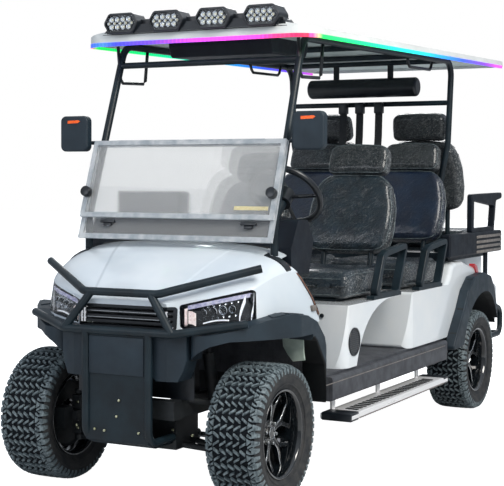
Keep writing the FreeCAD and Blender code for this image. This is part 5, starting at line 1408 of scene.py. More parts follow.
def lamp_point(side, out, up, depth):
    """The same place at a depth behind the lens, kept in front of the hood's pocket floor.

    It is held inside the lens's edge, and further inside where that misses the housing.
    """
    x, z = lamp_xz(min(0.985, max(0.02, out)), min(0.96, max(0.04, up)))
    front = onto(housing_skin, (side * x, AHEAD_Y, z), BACKWARD)
    if front is None:
        x, z = lamp_xz(min(0.94, max(0.08, out)), min(0.88, max(0.12, up)))
        front = onto(housing_skin, (side * x, AHEAD_Y, z), BACKWARD)
    rear = onto(housing_skin, front + BACKWARD * 0.002, BACKWARD)
    room = rear.y - front.y - 0.003
    return Vector((side * x, front.y + min(depth, room), z))


def lamp_grid(side, outs, ups, depth):
    """Points of a lamp's face, row by row from its lower edge."""
    return [lamp_point(side, out, up, depth) for up in ups for out in outs]


def lamp_band(side, line, height, depth, thick=0.004):
    """A raised bar through (out, up) places of the lamp's face."""
    middle = [lamp_point(side, out, up, depth) for out, up in line]
    rows = [[p + Vector((0, 0, edge * height / 2)) for p in middle] for edge in (-1, 1)]
    return lofted(rows, Vector((0, -thick, 0)))


for side_name, side in SIDES:
    steps = [i / 12 for i in range(LAMP_COLUMNS)]
    climbs = [i / 6 for i in range(LAMP_ROWS)]
    inner_climbs = [0.06 + 0.88 * i / 6 for i in range(LAMP_ROWS)]
    points = lamp_grid(side, [0.03 + 0.94 * t for t in steps], inner_climbs, 0.026)
    rim = lamp_grid(side, steps, climbs, 0.0015)
    faces = grid_faces(LAMP_ROWS, LAMP_COLUMNS)
    edge = grid_edge(LAMP_ROWS, LAMP_COLUMNS)
    start = len(points)
    points += [rim[a] for a in edge]
    for i, a in enumerate(edge):
        j = (i + 1) % len(edge)
        faces.append((a, edge[j], start + j, start + i))
    bowl = add_part("headlight_bowl_" + side_name, [(points, faces)], black_plastic)
    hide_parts("headlight_housings")
    top_bar = lamp_band(side, [(0.10 + 0.84 * t, 0.84) for t in steps], 0.017, 0.012, 0.009)
    add_part("headlight_top_bar_" + side_name, [top_bar], plated_violet)
    low_band = [(0.30 + 0.36 * t, 0.12 + 0.05 * math.sin(t * 3.1)) for t in steps]
    guides = [
        lamp_band(side, [(0.80, 0.10), (0.815, 0.30), (0.845, 0.52), (0.88, 0.74)], 0.028, 0.010, 0.006),
        lamp_band(side, [(0.93, 0.10), (0.955, 0.40), (0.965, 0.78)], 0.030, 0.012, 0.003),
        lamp_band(side, low_band, 0.006, 0.010, 0.005),
    ]
    add_part("headlight_guides_" + side_name, guides, light_guide_painted_glow)
    warm = [
        lamp_band(side, [(0.050, 0.46), (0.085, 0.46)], 0.072, 0.006, 0.003),
        lamp_band(side, [(0.100, 0.44), (0.150, 0.40), (0.200, 0.30)], 0.052, 0.006, 0.003),
    ]
    add_part("headlight_inner_" + side_name, warm, warm_diffuser_painted_glow)
    dishes = []
    studs = []
    for out, up, radius in PROJECTORS:
        centre = lamp_point(side, out, up, 0.010)
        dishes.append(dish_part(centre, radius, 0.010, FACET_SECTION, 10))
        studs.append(rod_part(centre + BACKWARD * 0.002, centre + BACKWARD * 0.010, radius * 0.42, 12))
    for k in range(14):
        centre = lamp_point(side, 0.24 + 0.042 * k, 0.70 if k % 2 else 0.26, 0.016)
        dishes.append(dish_part(centre, 0.0055, 0.003, FACET_SECTION, 6))
    add_part("headlight_reflectors_" + side_name, dishes, plated_reflector)
    add_part("headlight_projectors_" + side_name, studs, rim_lacquer)

# Nose: bright lines on the grille, a raised panel and bolts on the guard's plate, a splash panel behind it
GRILLE_LINE_ZS = (0.7900, 0.7640)
GRILLE_STRIP_XS = (-0.206, -0.192, 0.192, 0.206)
LINE_HALF_LENGTH = 0.222
LINE_HALF_HEIGHT = 0.0016
STRIP_HALF_WIDTH = 0.0035
grille_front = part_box("grille")[0].y
lines = []
for z in GRILLE_LINE_ZS:
    low = (-LINE_HALF_LENGTH, grille_front - 0.0015, z - LINE_HALF_HEIGHT)
    lines.append(box_part(low, (LINE_HALF_LENGTH, grille_front + 0.004, z + LINE_HALF_HEIGHT)))
add_part("grille_lines", lines, turned_steel)
strips = []
for x in GRILLE_STRIP_XS:
    low = (x - STRIP_HALF_WIDTH, grille_front - 0.0020, 0.742)
    strips.append(box_part(low, (x + STRIP_HALF_WIDTH, grille_front + 0.004, 0.800)))
# The end strips share the light guides' painted glow.
add_part("grille_end_strips", strips, light_guide_painted_glow)
guard_panel = box_part((-0.133, -1.8900, 0.536), (0.133, -1.8853, 0.692))
add_part("guard_upper_panel", [guard_panel], slate_plastic, bevel=(0.0018, 2))
bolts = []
for x, z in ((0.107, 0.303), (-0.107, 0.303), (0.0, 0.363), (0.012, 0.430), (-0.06, 0.300)):
    bolts.append(hex_bolt_part((x, -1.8830, z), -BACKWARD, 0.013, 0.006))
for side in (-1, 1):
    for x, z in ((0.155, 0.290), (0.250, 0.275), (0.330, 0.268)):
        bolts.append(hex_bolt_part((side * x, -1.690, z), -BACKWARD, 0.014, 0.008))
add_part("guard_bolts", bolts, zinc_plate, bevel=(0.001, 1))
splash = box_part((-0.285, -1.7405, 0.430), (0.285, -1.7375, 0.640))
add_part("nose_splash_panel", [splash], black_plastic)
hood_skin = skin("hood")
for side_name, side in SIDES:
    rows = []
    for z in (0.7320, 0.7600, 0.7900, 0.8160):
        row = [onto(hood_skin, (side * x, AHEAD_Y, z), BACKWARD) for x in (0.2392, 0.2440, 0.2485)]
        if all(row):
            rows.append(row)
    if len(rows) > 1:
        infill = lofted(rows, Vector((0, -0.0015, 0)))
        add_part("grille_infill_" + side_name, [infill], black_plastic)

# Cowl: a rubber seal round the hood's rear edge with a copper-brown line, and straps at the posts' feet
COWL_LINE = (
    (-1.452, 1.045),
    (-1.398, 0.988),
    (-1.344, 0.930),
    (-1.306, 0.885),
    (-1.268, 0.840),
    (-1.243, 0.800),
    (-1.221, 0.760),
    (-1.221, 0.724),
)
for side_name, side in SIDES:
    edge = []
    for y, z in COWL_LINE:
        place = onto(hood_skin, (side * 1.2, y - 0.006, z - 0.004), (-side, 0, 0))
        if place is not None:
            edge.append(place + Vector((side * 0.001, 0.004, 0.002)))
    seal = bead("cowl_seal_" + side_name, edge, 0.0058)
    place_piece(seal, "root", rubber_trim)
    line = bead("cowl_line_" + side_name, [p + Vector((side * 0.004, -0.0055, -0.001)) for p in edge], 0.0022)
    place_piece(line, "root", copper_line)
    rows = []
    for y in (-1.432, -1.417, -1.402):
        row = []
        centre = Vector((side * 0.36, y, 0.84))
        for degrees in (64, 56, 49, 42, 36, 30):
            way = Vector((side * math.cos(math.radians(degrees)), 0, math.sin(math.radians(degrees))))
            place = onto(hood_skin, centre + way * 0.5, -way)
            row.append(place if place is not None else centre + way * 0.2)
        rows.append(row)
    strap = lofted(rows, Vector((side * 0.004, 0, 0.005)))
    add_part("post_foot_strap_" + side_name, [strap], black_plastic)
rear_edge = []
for i in range(25):
    place = onto(hood_skin, (-0.42 + 0.84 * i / 24, -1.345, 1.4), DOWN)
    if place is not None:
        rear_edge.append(place + Vector((0, 0.006, -0.002)))
seal = bead("cowl_seal_middle", rear_edge, 0.0075)
place_piece(seal, "root", rubber_trim)

# Front wings: raised segmented pads over the wheels, a grey-green tab inside the arch and latches behind
wing_skin = skin("wheel_flares")
PAD_LINE = [
    Vector((0.470, -1.672)),
    Vector((0.520, -1.640)),
    Vector((0.560, -1.600)),
    Vector((0.600, -1.545)),
    Vector((0.618, -1.490)),
    Vector((0.618, -1.440)),
]
ARCH_TAB = (
    (0.490, 0.700),
    (0.498, 0.625),
    (0.520, 0.590),
    (0.545, 0.562),
    (0.600, 0.570),
    (0.595, 0.600),
    (0.590, 0.700),
)
WING_LOW_Z = 0.68
for side_name, side in SIDES:
    pads = []
    for first, last in ((0, 1), (1, 2), (2, 3), (3, 5)):
        rows = []
        for k in range(5):
            place = first + (last - first) * (0.03 + 0.94 * k / 4)
            i = min(int(place), len(PAD_LINE) - 2)
            here = PAD_LINE[i].lerp(PAD_LINE[i + 1], place - i)
            way = (PAD_LINE[i + 1] - PAD_LINE[i]).normalized()
            row = []
            for offset in (-0.022, -0.008, 0.008, 0.022):
                x, y = here + Vector((-way.y, way.x)) * offset
                hit = onto(wing_skin, (side * x, y, 1.1), DOWN)
                row.append(hit if hit is not None and hit.z > WING_LOW_Z else None)
            if all(row):
                rows.append(row)
        if len(rows) > 1:
            pads.append(lofted(rows, UP * 0.004))
    add_part("wing_pads_" + side_name, pads, slate_plastic)
    tab = slab(*[[Vector((side * x, y, z)) for x, z in ARCH_TAB] for y in (-1.345, -1.335)])
    add_part("arch_tab_" + side_name, [tab], sage_plastic_painted_light)
    latch = side_box(side, (0.598, 0.613), (-1.292, -1.250), (0.776, 0.800))
    add_part("hood_latch_" + side_name, [latch], taupe_plastic, bevel=(0.003, 2))

# Windshield: corner knobs, hinge clips and a blank label
SCREEN_LEAN = 0.36
SCREEN_WAY = Vector((0, SCREEN_LEAN, 1.0)).normalized()
SCREEN_OUT = Vector((0, -1.0, SCREEN_LEAN)).normalized()
SCREEN_Y = -1.418
SCREEN_Z = 1.156


def on_screen(x, z, proud=0.0):
    """A place on the front of the lower windshield sheet."""
    return Vector((x, SCREEN_Y + (z - SCREEN_Z) * SCREEN_LEAN, z)) + SCREEN_OUT * proud


def screen_box(x, z, width, height, low, high):
    """A block that lies on the sheet, from one distance before it to another."""
    half = SCREEN_WAY * height / 2
    side = ACROSS * width / 2
    loops = []
    for depth in (low, high):
        centre = on_screen(x, z, depth)
        loops.append([centre - side - half, centre + side - half, centre + side + half, centre - side + half])
    return slab(*loops)


knobs = []
clips = []
for side, clip_x in ((-1, -0.342), (1, 0.373)):
    centre = on_screen(side * 0.472, 1.270)
    knobs.append(rod_part(centre + SCREEN_OUT * 0.008, centre + SCREEN_OUT * 0.024, 0.015, 20))
    knobs.append(rod_part(centre + SCREEN_OUT * 0.024, centre + SCREEN_OUT * 0.052, 0.024, 20))
    clips.append(screen_box(clip_x, 1.146, 0.074, 0.013, 0.004, 0.018))
    clips.append(screen_box(clip_x, 1.134, 0.040, 0.016, 0.004, 0.012))
add_part("windshield_knobs", knobs, black_plastic, bevel=(0.003, 2))
add_part("windshield_clips", clips, black_plastic, bevel=(0.002, 2))
label = screen_box(0.370, 1.214, 0.165, 0.017, 0.0065, 0.0072)
add_part("windshield_label", [label], yellow_label)

# Mirrors: an orange strip on the shell and glass behind
MIRROR_X = 0.600
MIRROR_STRIP_Z = 1.604
MIRROR_STRIP = ((-0.036, -0.0065), (0.028, -0.0045), (0.040, 0.0035), (0.030, 0.0085), (-0.036, 0.0065))
mirror_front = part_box("mirrors")[0].y
for side_name, side in SIDES:
    x = side * MIRROR_X
    strip = slab(*[
        [Vector((x + out * 0.9, mirror_front + depth, MIRROR_STRIP_Z + up)) for out, up in MIRROR_STRIP]
        for depth in (0.002, -0.0015)
    ])
    add_part("mirror_strip_" + side_name, [strip], orange_reflector_painted_glow)
    glass = box_part((x - 0.060, mirror_front + 0.0440, 1.484), (x + 0.060, mirror_front + 0.0455, 1.614))
    add_part("mirror_glass_" + side_name, [glass], mirror_glass, bevel=(0.0007, 1))

# Front base: round grilles in both sides and a charge port
GRILLE_RIM = ((0.0, 0.066), (0.005, 0.066), (0.006, 0.062), (0.004, 0.056), (0.0005, 0.055))
GRILLE_RADIUS = 0.054
BAR_STEP = 0.0095
for side_name, side in SIDES:
    centre = Vector((side * 0.600, -0.800, 0.592))
    ring = revolved([(side * x, r) for x, r in GRILLE_RIM], 40, centre)
    rim = add_part("base_grille_rim_" + side_name, [ring], black_plastic)
    rim.data.shade_smooth()
    bars = [rod_part(centre, centre + Vector((side * 0.0015, 0, 0)), 0.056, 32)]
    for k in range(-5, 6):
        half = math.sqrt(GRILLE_RADIUS ** 2 - (k * BAR_STEP) ** 2)
        z = centre.z + k * BAR_STEP
        y_range = (centre.y - half, centre.y + half)
        bars.append(side_box(side, (0.600, 0.604), y_range, (z - 0.0022, z + 0.0022)))
    add_part("base_grille_" + side_name, bars, black_plastic)
port = rod_part((0.472, -0.8785, 0.713), (0.472, -0.8845, 0.714), 0.010, 20)
add_part("charge_port", [port], black_plastic)

# Floor: pale lip lines along the rocker
for side_name, side in SIDES:
    lip = side_box(side, (0.6195, 0.6215), (-1.190, 0.440), (0.437, 0.441))
    add_part("rocker_lip_" + side_name, [lip], taupe_plastic)

# Running boards: a black ladder insert, end caps and an under-lip
BOARD_FRONT = -1.070
BOARD_REAR = 0.240
RUNGS = 22
RUNG_PITCH = 0.0480
RUNG_OUTLINE = ((0.618, 0.0), (0.618, 0.027), (0.678, 0.019), (0.678, -0.008))
for side_name, side in SIDES:
    rungs = []
    for k in range(RUNGS):
        y = BOARD_FRONT + 0.130 + k * RUNG_PITCH
        outline = RUNG_OUTLINE[::side]
        faces = []
        for z in (0.3015, 0.3045):
            faces.append([Vector((side * x, y + along, z)) for x, along in outline])
        rungs.append(slab(*faces))
    add_part("board_ladder_" + side_name, rungs, rubber_trim)
    caps = []
    for y_range in ((BOARD_FRONT - 0.006, BOARD_FRONT + 0.085), (BOARD_REAR - 0.060, BOARD_REAR + 0.006)):
        caps.append(side_box(side, (0.560, 0.7045), y_range, (0.2680, 0.3048)))
    add_part("board_caps_" + side_name, caps, black_plastic, bevel=(0.004, 2))
    lip = side_box(side, (0.7030, 0.7048), (BOARD_FRONT + 0.09, BOARD_REAR - 0.065), (0.272, 0.286))
    add_part("board_lip_" + side_name, [lip], taupe_plastic)

# Belts: retractors on the rear cross tube with webbing down to the buckles
BELT_BAR_Y = 0.840
BELT_XS = (-0.150, -0.045, 0.075)
WEBBING_WIDTH = 0.046
WEBBING_THICKNESS = 0.0014
# The webbing's line from a retractor, as X from the belt, Y from the cross tube and height
BELT_LINE = ((0.0, -0.034, 1.735), (0.004, -0.050, 1.60), (0.010, -0.110, 1.30), (0.012, -0.150, 1.06))
for index, x in enumerate(BELT_XS):
    case = box_part((x - 0.026, BELT_BAR_Y - 0.052, 1.735), (x + 0.026, BELT_BAR_Y - 0.014, 1.800))
    add_part("belt_retractor_%d" % index, [case], black_plastic, bevel=(0.006, 3))
    path = [Vector((x + across, BELT_BAR_Y + along, z)) for across, along, z in BELT_LINE]
    strap = strap_piece("belt_webbing_%d" % index, path, WEBBING_WIDTH, WEBBING_THICKNESS, ACROSS)
    place_piece(strap, "root", belt_webbing)
    tongue = box_part((x - 0.014, BELT_BAR_Y - 0.162, 1.005), (x + 0.038, BELT_BAR_Y - 0.138, 1.065))
    add_part("belt_buckle_%d" % index, [tongue], black_plastic, bevel=(0.006, 3))

# Ceiling grab handles, hung from the roof rails over the first two rows, as (Y front, Y rear, top, low)
HANDLES = ((-1.150, -0.885, 1.966, 1.796), (0.208, 0.610, 2.004, 1.950))
for side_name, side in SIDES:
    for index, (y0, y1, top, low) in enumerate(HANDLES):
        front_bend = ((y0, top), (y0 + 0.022, low + 0.016), (y0 + 0.042, low))
        rear_bend = ((y1 - 0.042, low + 0.008), (y1 - 0.022, low + 0.022), (y1, top + 0.010))
        path = [Vector((side * 0.470, y, z)) for y, z in front_bend + rear_bend]
        handle = bead("grab_handle_%s_%d" % (side_name, index), path, 0.0080, 10)
        place_piece(handle, "root", black_plastic)

# Rear flares: dark joint lines across the top
for side_name, side in SIDES:
    cuts = []
    for y, z_from in ((0.545, 1.0), (0.665, 1.0), (0.835, 1.1), (1.150, 1.1), (1.330, 1.0)):
        rows = []
        for y_line in (y, y + 0.006):
            row = [onto(wing_skin, (side * x, y_line, z_from), DOWN) for x in (0.612, 0.624, 0.636, 0.648)]
            if all(row):
                rows.append(row)
        if len(rows) > 1:
            cuts.append(lofted(rows, UP * 0.0012))
    if cuts:
        add_part("rear_flare_joints_" + side_name, cuts, rubber_trim)

# Rear armrest boxes: ribs on their rear halves
for side_name, side in SIDES:
    ribs = []
    for z in (0.923, 0.952, 0.981, 1.011):
        ribs.append(side_box(side, (0.5975, 0.6000), (1.060, 1.560), (z - 0.0085, z + 0.0085)))
    add_part("armrest_ribs_" + side_name, ribs, taupe_plastic, bevel=(0.0008, 1))

# Brakes: a dust shield inside each rim, and bolts on the front knuckles' inner faces
SHIELD_PROFILE = (
    (-0.0015, 0.062),
    (-0.0015, 0.140),
    (0.006, 0.150),
    (0.009, 0.149),
    (0.0015, 0.138),
    (0.0015, 0.062),
    (-0.0015, 0.062),
)
SHIELD_INSET = 0.046
BRAKE_BOLT_X = 0.400
BRAKE_BOLT_RADIUS = 0.062
for row_name, axle_y in AXLES:
    for side_name, side in SIDES:
        shield = revolved(SHIELD_PROFILE, 48, (side * (HALF_TRACK - SHIELD_INSET), axle_y, AXLE_Z))
        body = "knuckle_" + side_name if row_name == "front" else "root"
        name = "brake_shield_%s_%s" % (row_name, side_name)
        add_part(name, [shield], chassis_paint, body)
for side_name, side in SIDES:
    bolts = []
    for degrees in (20, 65, 110, 250, 300):
        turn = math.radians(degrees)
        at = round_axle((0, FRONT_AXLE_Y, AXLE_Z), side * BRAKE_BOLT_X, BRAKE_BOLT_RADIUS, turn)
        bolts.append(hex_bolt_part(at, (-side, 0, 0), 0.018, 0.014))
    knuckle = "knuckle_" + side_name
    add_part("brake_bolts_" + side_name, bolts, zinc_plate, knuckle, (0.001, 1))


# Seats
SEAT_X = 0.300
SEAT_PITCH = 0.790
FIRST_BACK_Y = FRONT_AXLE_Y + 1.345
FIRST_BACK_Z = 0.985
ROW_RISE = 0.030
BACK_LEAN = math.atan(0.34)
REAR_BACK_LEAN = BACK_LEAN * 0.74
REAR_BACK_Y = REAR_AXLE_Y - 0.080
REAR_BACK_Z = 1.158
HALF_BACK = (0.233, 0.0525, 0.21)
HALF_HEAD = (0.165, 0.050, 0.0810)
HALF_CUSHION = (0.235, 0.25, 0.070)
BACK_MIDDLE = Vector((0, 0.0525, 0.21))
HEAD_MIDDLE = Vector((0, 0.0510, 0.5020))
CUSHION_FRONT_Y = FRONT_AXLE_Y + 0.830
CUSHION_LOW_Z = 0.7773
BENCH_HALF_DEPTH = 0.223
BENCH_HALF_HEIGHT = 0.054
WELT_RADIUS = 0.0022
# The seams' places through the backs and headrests, in front of and behind their middles
BACK_SEAM_YS = (-0.0425, 0.0425)
HEAD_SEAM_Y = -0.034
# The backrest's width, as shares of its height and of its full width
BACK_WIDTHS = ((0.0, 0.72), (0.04, 0.88), (0.12, 0.95), (0.3, 1.0), (0.58, 0.984), (0.84, 0.87), (1.0, 0.70))


def rounded_block(half, radius, count):
    """Points and quads of a rounded block centred at zero, evenly divided for shaping."""
    index = {}
    points = []
    faces = []

    def corner(*steps):
        if steps not in index:
            full = Vector([(step / count * 2 - 1) * reach for step, reach in zip(steps, half)])
            core = Vector([max(radius - reach, min(reach - radius, at)) for at, reach in zip(full, half)])
            away = full - core
            if away.length > 1e-9:
                away = away.normalized() * radius
            index[steps] = len(points)
            points.append(core + away)
        return index[steps]

    for a in range(count):
        for b in range(count):
            c, d = a + 1, b + 1
            faces.append((corner(a, b, 0), corner(a, d, 0), corner(c, d, 0), corner(c, b, 0)))
            faces.append((corner(a, b, count), corner(c, b, count), corner(c, d, count), corner(a, d, count)))
            faces.append((corner(a, 0, b), corner(c, 0, b), corner(c, 0, d), corner(a, 0, d)))
            faces.append((corner(a, count, b), corner(a, count, d), corner(c, count, d), corner(c, count, b)))
            faces.append((corner(0, a, b), corner(0, a, d), corner(0, c, d), corner(0, c, b)))
            faces.append((corner(count, a, b), corner(count, c, b), corner(count, c, d), corner(count, a, d)))
    return points, faces


def wrinkle(p, seed, lean):
    """The rise of stretched vinyl and film at a place, in metres: long creases that climb to one side."""
    across = (p.z - p.x * 0.8 * lean) / 0.030
    along = (p.x + p.z * 0.8 * lean) / 0.110
    long_crease = field.noise(Vector((along + seed, p.y / 0.05, across)))
    fine = field.noise(Vector((p.x / 0.020, p.y / 0.020 + seed, p.z / 0.020)))
    return 0.0016 * long_crease + 0.0006 * fine


def between(table, place):
    """A value read from a table of (place, value) pairs."""
    for (a, low), (b, high) in zip(table, table[1:]):
        if place <= b:
            share = max(0.0, (place - a) / (b - a))
            return low + (high - low) * share
    return table[-1][1]


def hump(place, middle, width):
    """One at a middle, falling away softly on both sides of it."""
    return math.exp(-(((place - middle) / width) ** 2))


def back_shape(p):
    """The backrest's form: a shield, widest low down, with bolsters at the sides."""
    height = (p.z + HALF_BACK[2]) / (2 * HALF_BACK[2])
    spread = abs(p.x) / HALF_BACK[0]
    y = p.y
    if y < 0:
        y = y + 0.012 * hump(spread, 0.05, 0.48) - 0.003 * hump(spread, 0.80, 0.16)
        y = y - 0.008 * hump(height, 0.22, 0.16) * max(0.0, 1 - spread ** 2)
        y = y + 0.010 * max(0.0, height - 0.86) / 0.14
    else:
        y = y - 0.016 * spread ** 2
    z = p.z
    if height > 0.8:
        z = z - 0.016 * spread ** 2 * (height - 0.8) / 0.2
    return Vector((p.x * between(BACK_WIDTHS, height), y, z))


def headrest_shape(p):
    """The headrest: a soft trapezoid, thicker at its middle."""
    spread = p.x / HALF_HEAD[0]
    height = (p.z + HALF_HEAD[2]) / (2 * HALF_HEAD[2])
    x = p.x * (1.0 - 0.10 * max(0.0, height - 0.35) ** 2)
    y = p.y * (1.0 - 0.12 * spread ** 2)
    return Vector((x, y, p.z - 0.010 * spread ** 2 * height))


def cushion_shape(p):
    """The seat cushion: dished between side bolsters, with a rolled front."""
    half_x, half_y, half_z = HALF_CUSHION
    spread = abs(p.x) / half_x
    along = (p.y + half_y) / (2 * half_y)
    height = (p.z + half_z) / (2 * half_z)
    z = p.z
    if z > 0:
        z = z - 0.014 * hump(spread, 0.0, 0.55) * hump(along, 0.6, 0.35)
        z = z - 0.020 * max(0.0, 0.16 - along) / 0.16
    y = p.y
    if along < 0.2 and p.z < 0:
        y = y + 0.014 * (0.2 - along) / 0.2 * min(1.0, -p.z / half_z)
    x = p.x * (1.0 - 0.035 * (1.0 - min(1.0, max(0.0, height))))
    return Vector((x, y, z))


def bench_shape(p):
    """The rear bench cushion: one wide pad, dished at each place."""
    along = (p.y + BENCH_HALF_DEPTH) / (2 * BENCH_HALF_DEPTH)
    z = p.z
    if z > 0:
        for middle in (-0.26, 0.26):
            z = z - 0.010 * hump(p.x, middle, 0.16) * hump(along, 0.5, 0.35)
        z = z - 0.004 * hump(p.x, 0.0, 0.012)
    return Vector((p.x, p.y, z))


def seam_part(path, radius, place):
    """A sewn piping cord along a closed path."""
    points = []
    last_side = None
    for i, here in enumerate(path):
        way = (path[(i + 1) % len(path)] - path[i - 1]).normalized()
        side = way.orthogonal().normalized()
        if last_side is not None and last_side.dot(side) < 0.7:
            side = (last_side - way * last_side.dot(way)).normalized()
        last_side = side
        points += [place(p) for p in circle_points(here, side, way.cross(side), radius, 6)]
    return points, tube_faces(len(path), 6)


def rim_path(half_x, half_z, radius, face_y):
    """A rounded rectangle in the X-Z plane at face_y."""
    path = []
    core_x, core_z = half_x - radius, half_z - radius
    quarters = ((1, 1), (-1, 1), (-1, -1), (1, -1), (1, 1))
    for start, (cx, cz) in enumerate(quarters[:4]):
        middle = Vector((cx * core_x, face_y, cz * core_z))
        for i in range(7):
            turn = math.pi / 2 * (start + i / 6)
            path.append(middle + Vector((math.cos(turn), 0, math.sin(turn))) * radius)
        nx, nz = quarters[start + 1]
        turn = math.pi / 2 * (start + 1)
        end = Vector((nx * core_x + radius * math.cos(turn), face_y, nz * core_z + radius * math.sin(turn)))
        begin = path[-1]
        path += [begin.lerp(end, i / 8) for i in range(1, 8)]
    return path


def flat_rim(half_x, half_y, radius, z):
    """The same rounded rectangle laid flat at a height."""
    return [Vector((p.x, p.z, z)) for p in rim_path(half_x, half_y, radius, 0.0)]


def soft_pad(name, half, shape, place, seams, radius, seed, count, lean=1.0):
    """A padded piece: a rounded block shaped, wrinkled, put in place and piped along its seams.

    radius rounds its edges, count divides each side, and seed and lean set its wrinkles.
    """
    points, faces = rounded_block(half, radius, count)
    made = []
    for p in points:
        q = shape(p)
        out = Vector((q.x / half[0], q.y / half[1], q.z / half[2])).normalized()
        made.append(place(q + out * wrinkle(q, seed, lean)))
    pad = mesh_piece(name, made, faces, smooth=True)
    if not seams:
        return pad, None
    welts = [seam_part([shape(p) for p in path], WELT_RADIUS, place) for path in seams]
    piping = joined(name + "_piping", welts)
    piping.data.shade_smooth()
    return pad, piping


def leaning(foot, offset, lean, way=1):
    """Stands a form on a seat frame's foot, leaning back by an angle; with a way of -1 it faces the rear."""
    turn = -way * lean

    def place(p):
        q = Vector((p.x, way * p.y, p.z)) + offset
        y = q.y * math.cos(turn) - q.z * math.sin(turn)
        z = q.y * math.sin(turn) + q.z * math.cos(turn)
        return foot + Vector((q.x, y, z))

    return place


def lying(middle):
    """Lays a form flat with its middle at a place."""
    return lambda p: middle + p


def add_pad(pad, piping, body, film, stands_for=None):
    """Puts a pad and its piping on a body, for a node that the pad stands for."""
    place_piece(pad, body, film)
    if stands_for:
        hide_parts(stands_for)
    if piping:
        place_piece(piping, body, seam_vinyl_painted_highlight)


back_rims = [rim_path(HALF_BACK[0] - 0.006, HALF_BACK[2] - 0.006, 0.045, y) for y in BACK_SEAM_YS]
head_rim = rim_path(HALF_HEAD[0] - 0.005, HALF_HEAD[2] - 0.005, 0.036, HEAD_SEAM_Y)
cushion_rims = []
for inset, z in ((0.002, 0.046), (0.004, -0.050)):
    cushion_rims.append(flat_rim(HALF_CUSHION[0] - inset, HALF_CUSHION[1] - inset, 0.050, z))
seat_number = 0
for side_name, side in SIDES:
    for row in range(2):
        seat_number += 1
        label = "%s_row_%d" % (side_name, row + 1)
        foot = Vector((side * SEAT_X, FIRST_BACK_Y + SEAT_PITCH * row, FIRST_BACK_Z + ROW_RISE * row))
        cushion_y = CUSHION_FRONT_Y + HALF_CUSHION[1] + SEAT_PITCH * row
        cushion_middle = Vector((side * SEAT_X, cushion_y, CUSHION_LOW_Z + HALF_CUSHION[2]))
        back_place = leaning(foot, BACK_MIDDLE, BACK_LEAN)
        back = soft_pad(
            "seat_back_" + label,
            HALF_BACK,
            back_shape,
            back_place,
            back_rims,
            radius=0.040,
            seed=seat_number * 3.7,
            count=44,
        )
        head_place = leaning(foot, HEAD_MIDDLE, BACK_LEAN)
        head = soft_pad(
            "headrest_" + label,
            HALF_HEAD,
            headrest_shape,
            head_place,
            [head_rim],
            radius=0.036,
            seed=seat_number * 5.1,
            count=28,
        )
        cushion = soft_pad(
            "seat_cushion_" + label,
            HALF_CUSHION,
            cushion_shape,
            lying(cushion_middle),
            cushion_rims,
            radius=0.038,
            seed=seat_number * 2.3,
            count=40,
            lean=0.4,
        )
        add_pad(*back, "root", (film_vinyl, smooth_film_vinyl_painted_shade)[row], "seat_backs")
        add_pad(*head, "root", crumpled_film_vinyl, "seat_backs")
        add_pad(*cushion, "root", film_vinyl, "seat_cushions")
    label = side_name + "_rear"
    foot = Vector((side * SEAT_X, REAR_BACK_Y, REAR_BACK_Z))
    back_place = leaning(foot, BACK_MIDDLE, REAR_BACK_LEAN, -1)
    back = soft_pad(
        "seat_back_" + label,
        HALF_BACK,
        back_shape,
        back_place,
        back_rims[:1],
        radius=0.040,
        seed=31.0 + side,
        count=44,
    )
    head_place = leaning(foot, HEAD_MIDDLE, REAR_BACK_LEAN, -1)
    head = soft_pad(
        "headrest_" + label,
        HALF_HEAD,
        headrest_shape,
        head_place,
        [],
        radius=0.036,
        seed=41.0 + side,
        count=28,
    )
    for pad, piping in (back, head):
        pad.data.flip_normals()
        add_pad(pad, piping, "root", crumpled_film_vinyl, "seat_backs")

bench_low, bench_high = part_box("rear_seat_cushion")
bench_half = ((bench_high.x - bench_low.x) / 2, BENCH_HALF_DEPTH, BENCH_HALF_HEIGHT)
bench_middle = Vector((0, REAR_AXLE_Y - 0.010 + BENCH_HALF_DEPTH, bench_high.z - BENCH_HALF_HEIGHT))
bench_rim = flat_rim(bench_half[0] - 0.004, BENCH_HALF_DEPTH - 0.004, 0.045, 0.036)
bench = soft_pad(
    "rear_bench_cushion",
    bench_half,
    bench_shape,
    lying(bench_middle),
    [bench_rim],
    radius=0.034,
    seed=61.0,
    count=44,
    lean=0.3,
)
add_pad(*bench, "rear_seat", film_vinyl)


# Studio: pale floor, white background, soft light
floor_corners = [(-40, -40, 0), (40, -40, 0), (40, 40, 0), (-40, 40, 0)]
floor_mesh = mesh_piece("studio_floor", floor_corners, [(0, 1, 2, 3)])
studio_paper = bpy.data.materials.new("studio_paper")
studio_paper.use_nodes = True
tree = studio_paper.node_tree
paper = tree.nodes["Principled BSDF"]
paper.inputs["Base Color"].default_value = linear("#c9cacb")
paper.inputs["Roughness"].default_value = 0.9
paper.inputs["Emission Color"].default_value = (1, 1, 1, 1)
light_path = add_node(tree, "ShaderNodeLightPath")
tree.links.new(light_path.outputs["Is Camera Ray"], paper.inputs["Emission Strength"])
floor_mesh.data.materials.append(studio_paper)

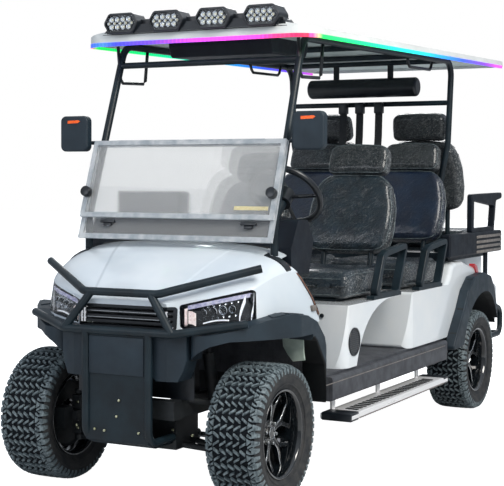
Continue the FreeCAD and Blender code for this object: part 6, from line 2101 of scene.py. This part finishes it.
world = bpy.data.worlds.new("studio_world")
bpy.context.scene.world = world
world.use_nodes = True
tree = world.node_tree
tree.nodes.clear()
light_path = add_node(tree, "ShaderNodeLightPath")
seen = add_node(
    tree,
    "ShaderNodeMath",
    {0: (light_path, "Is Camera Ray"), 1: (light_path, "Is Transmission Ray")},
    operation="MAXIMUM",
)
way = add_node(tree, "ShaderNodeTexCoord")
height = add_node(tree, "ShaderNodeSeparateXYZ", {"Vector": (way, "Generated")})
climb = add_node(
    tree, "ShaderNodeMapRange", {"Value": (height, "Z"), "From Max": 0.8, "To Min": 0.30, "To Max": 0.85}
)
sky = add_node(tree, "ShaderNodeBackground", {"Color": linear("#e6eef8"), "Strength": (climb, "Result")})
white = add_node(tree, "ShaderNodeBackground", {"Color": (1, 1, 1, 1), "Strength": 1.0})
grounds = {0: (seen, "Value"), 1: (sky, "Background"), 2: (white, "Background")}
mix = add_node(tree, "ShaderNodeMixShader", grounds)
add_node(tree, "ShaderNodeOutputWorld", {"Surface": (mix, "Shader")})


def area_light(name, location, target, size, power, colour):
    """A rectangular soft light of a power in watts, aimed at a target."""
    light = bpy.data.lights.new(name, "AREA")
    light.shape = "RECTANGLE"
    light.size, light.size_y = size
    light.energy = power
    light.color = linear(colour)[:3]
    obj = bpy.data.objects.new(name, light)
    obj.location = location
    obj.rotation_euler = (Vector(target) - Vector(location)).to_track_quat("-Z", "Y").to_euler()
    bpy.context.scene.collection.objects.link(obj)


area_light("key_softbox", (5.0, -3.2, 5.4), (0.2, -0.6, 0.9), (3.0, 3.0), 430, "#fffaf2")
area_light("front_softbox", (-2.4, -7.5, 3.6), (0, -0.6, 0.8), (4.0, 2.5), 95, "#f2f6ff")
area_light("rear_softbox", (-2.5, 5.5, 4.8), (0, 0.4, 1.2), (3.5, 2.5), 220, "#ffffff")


# Camera at the photograph's place
CAMERA_PLACE = (2.934, -6.390, 1.327)
CAMERA_AZIMUTH = 27.13
CAMERA_DOWN = 2.35
CAMERA_ROLL = 0.26
camera_data = bpy.data.cameras.new("photo_camera")
camera_data.lens = 93.5
camera_data.sensor_width = 36.0
camera_data.shift_x = -0.0014
camera_data.shift_y = -0.0135
camera_data.clip_end = 200.0
camera = bpy.data.objects.new("photo_camera", camera_data)
view = Matrix.Translation(CAMERA_PLACE)
for degrees, axis in ((CAMERA_AZIMUTH, "Z"), (90 - CAMERA_DOWN, "X"), (CAMERA_ROLL, "Z")):
    view = view @ Matrix.Rotation(math.radians(degrees), 4, axis)
camera.matrix_world = view
bpy.context.scene.collection.objects.link(camera)
bpy.context.scene.camera = camera
bpy.context.scene.view_settings.view_transform = "Standard"
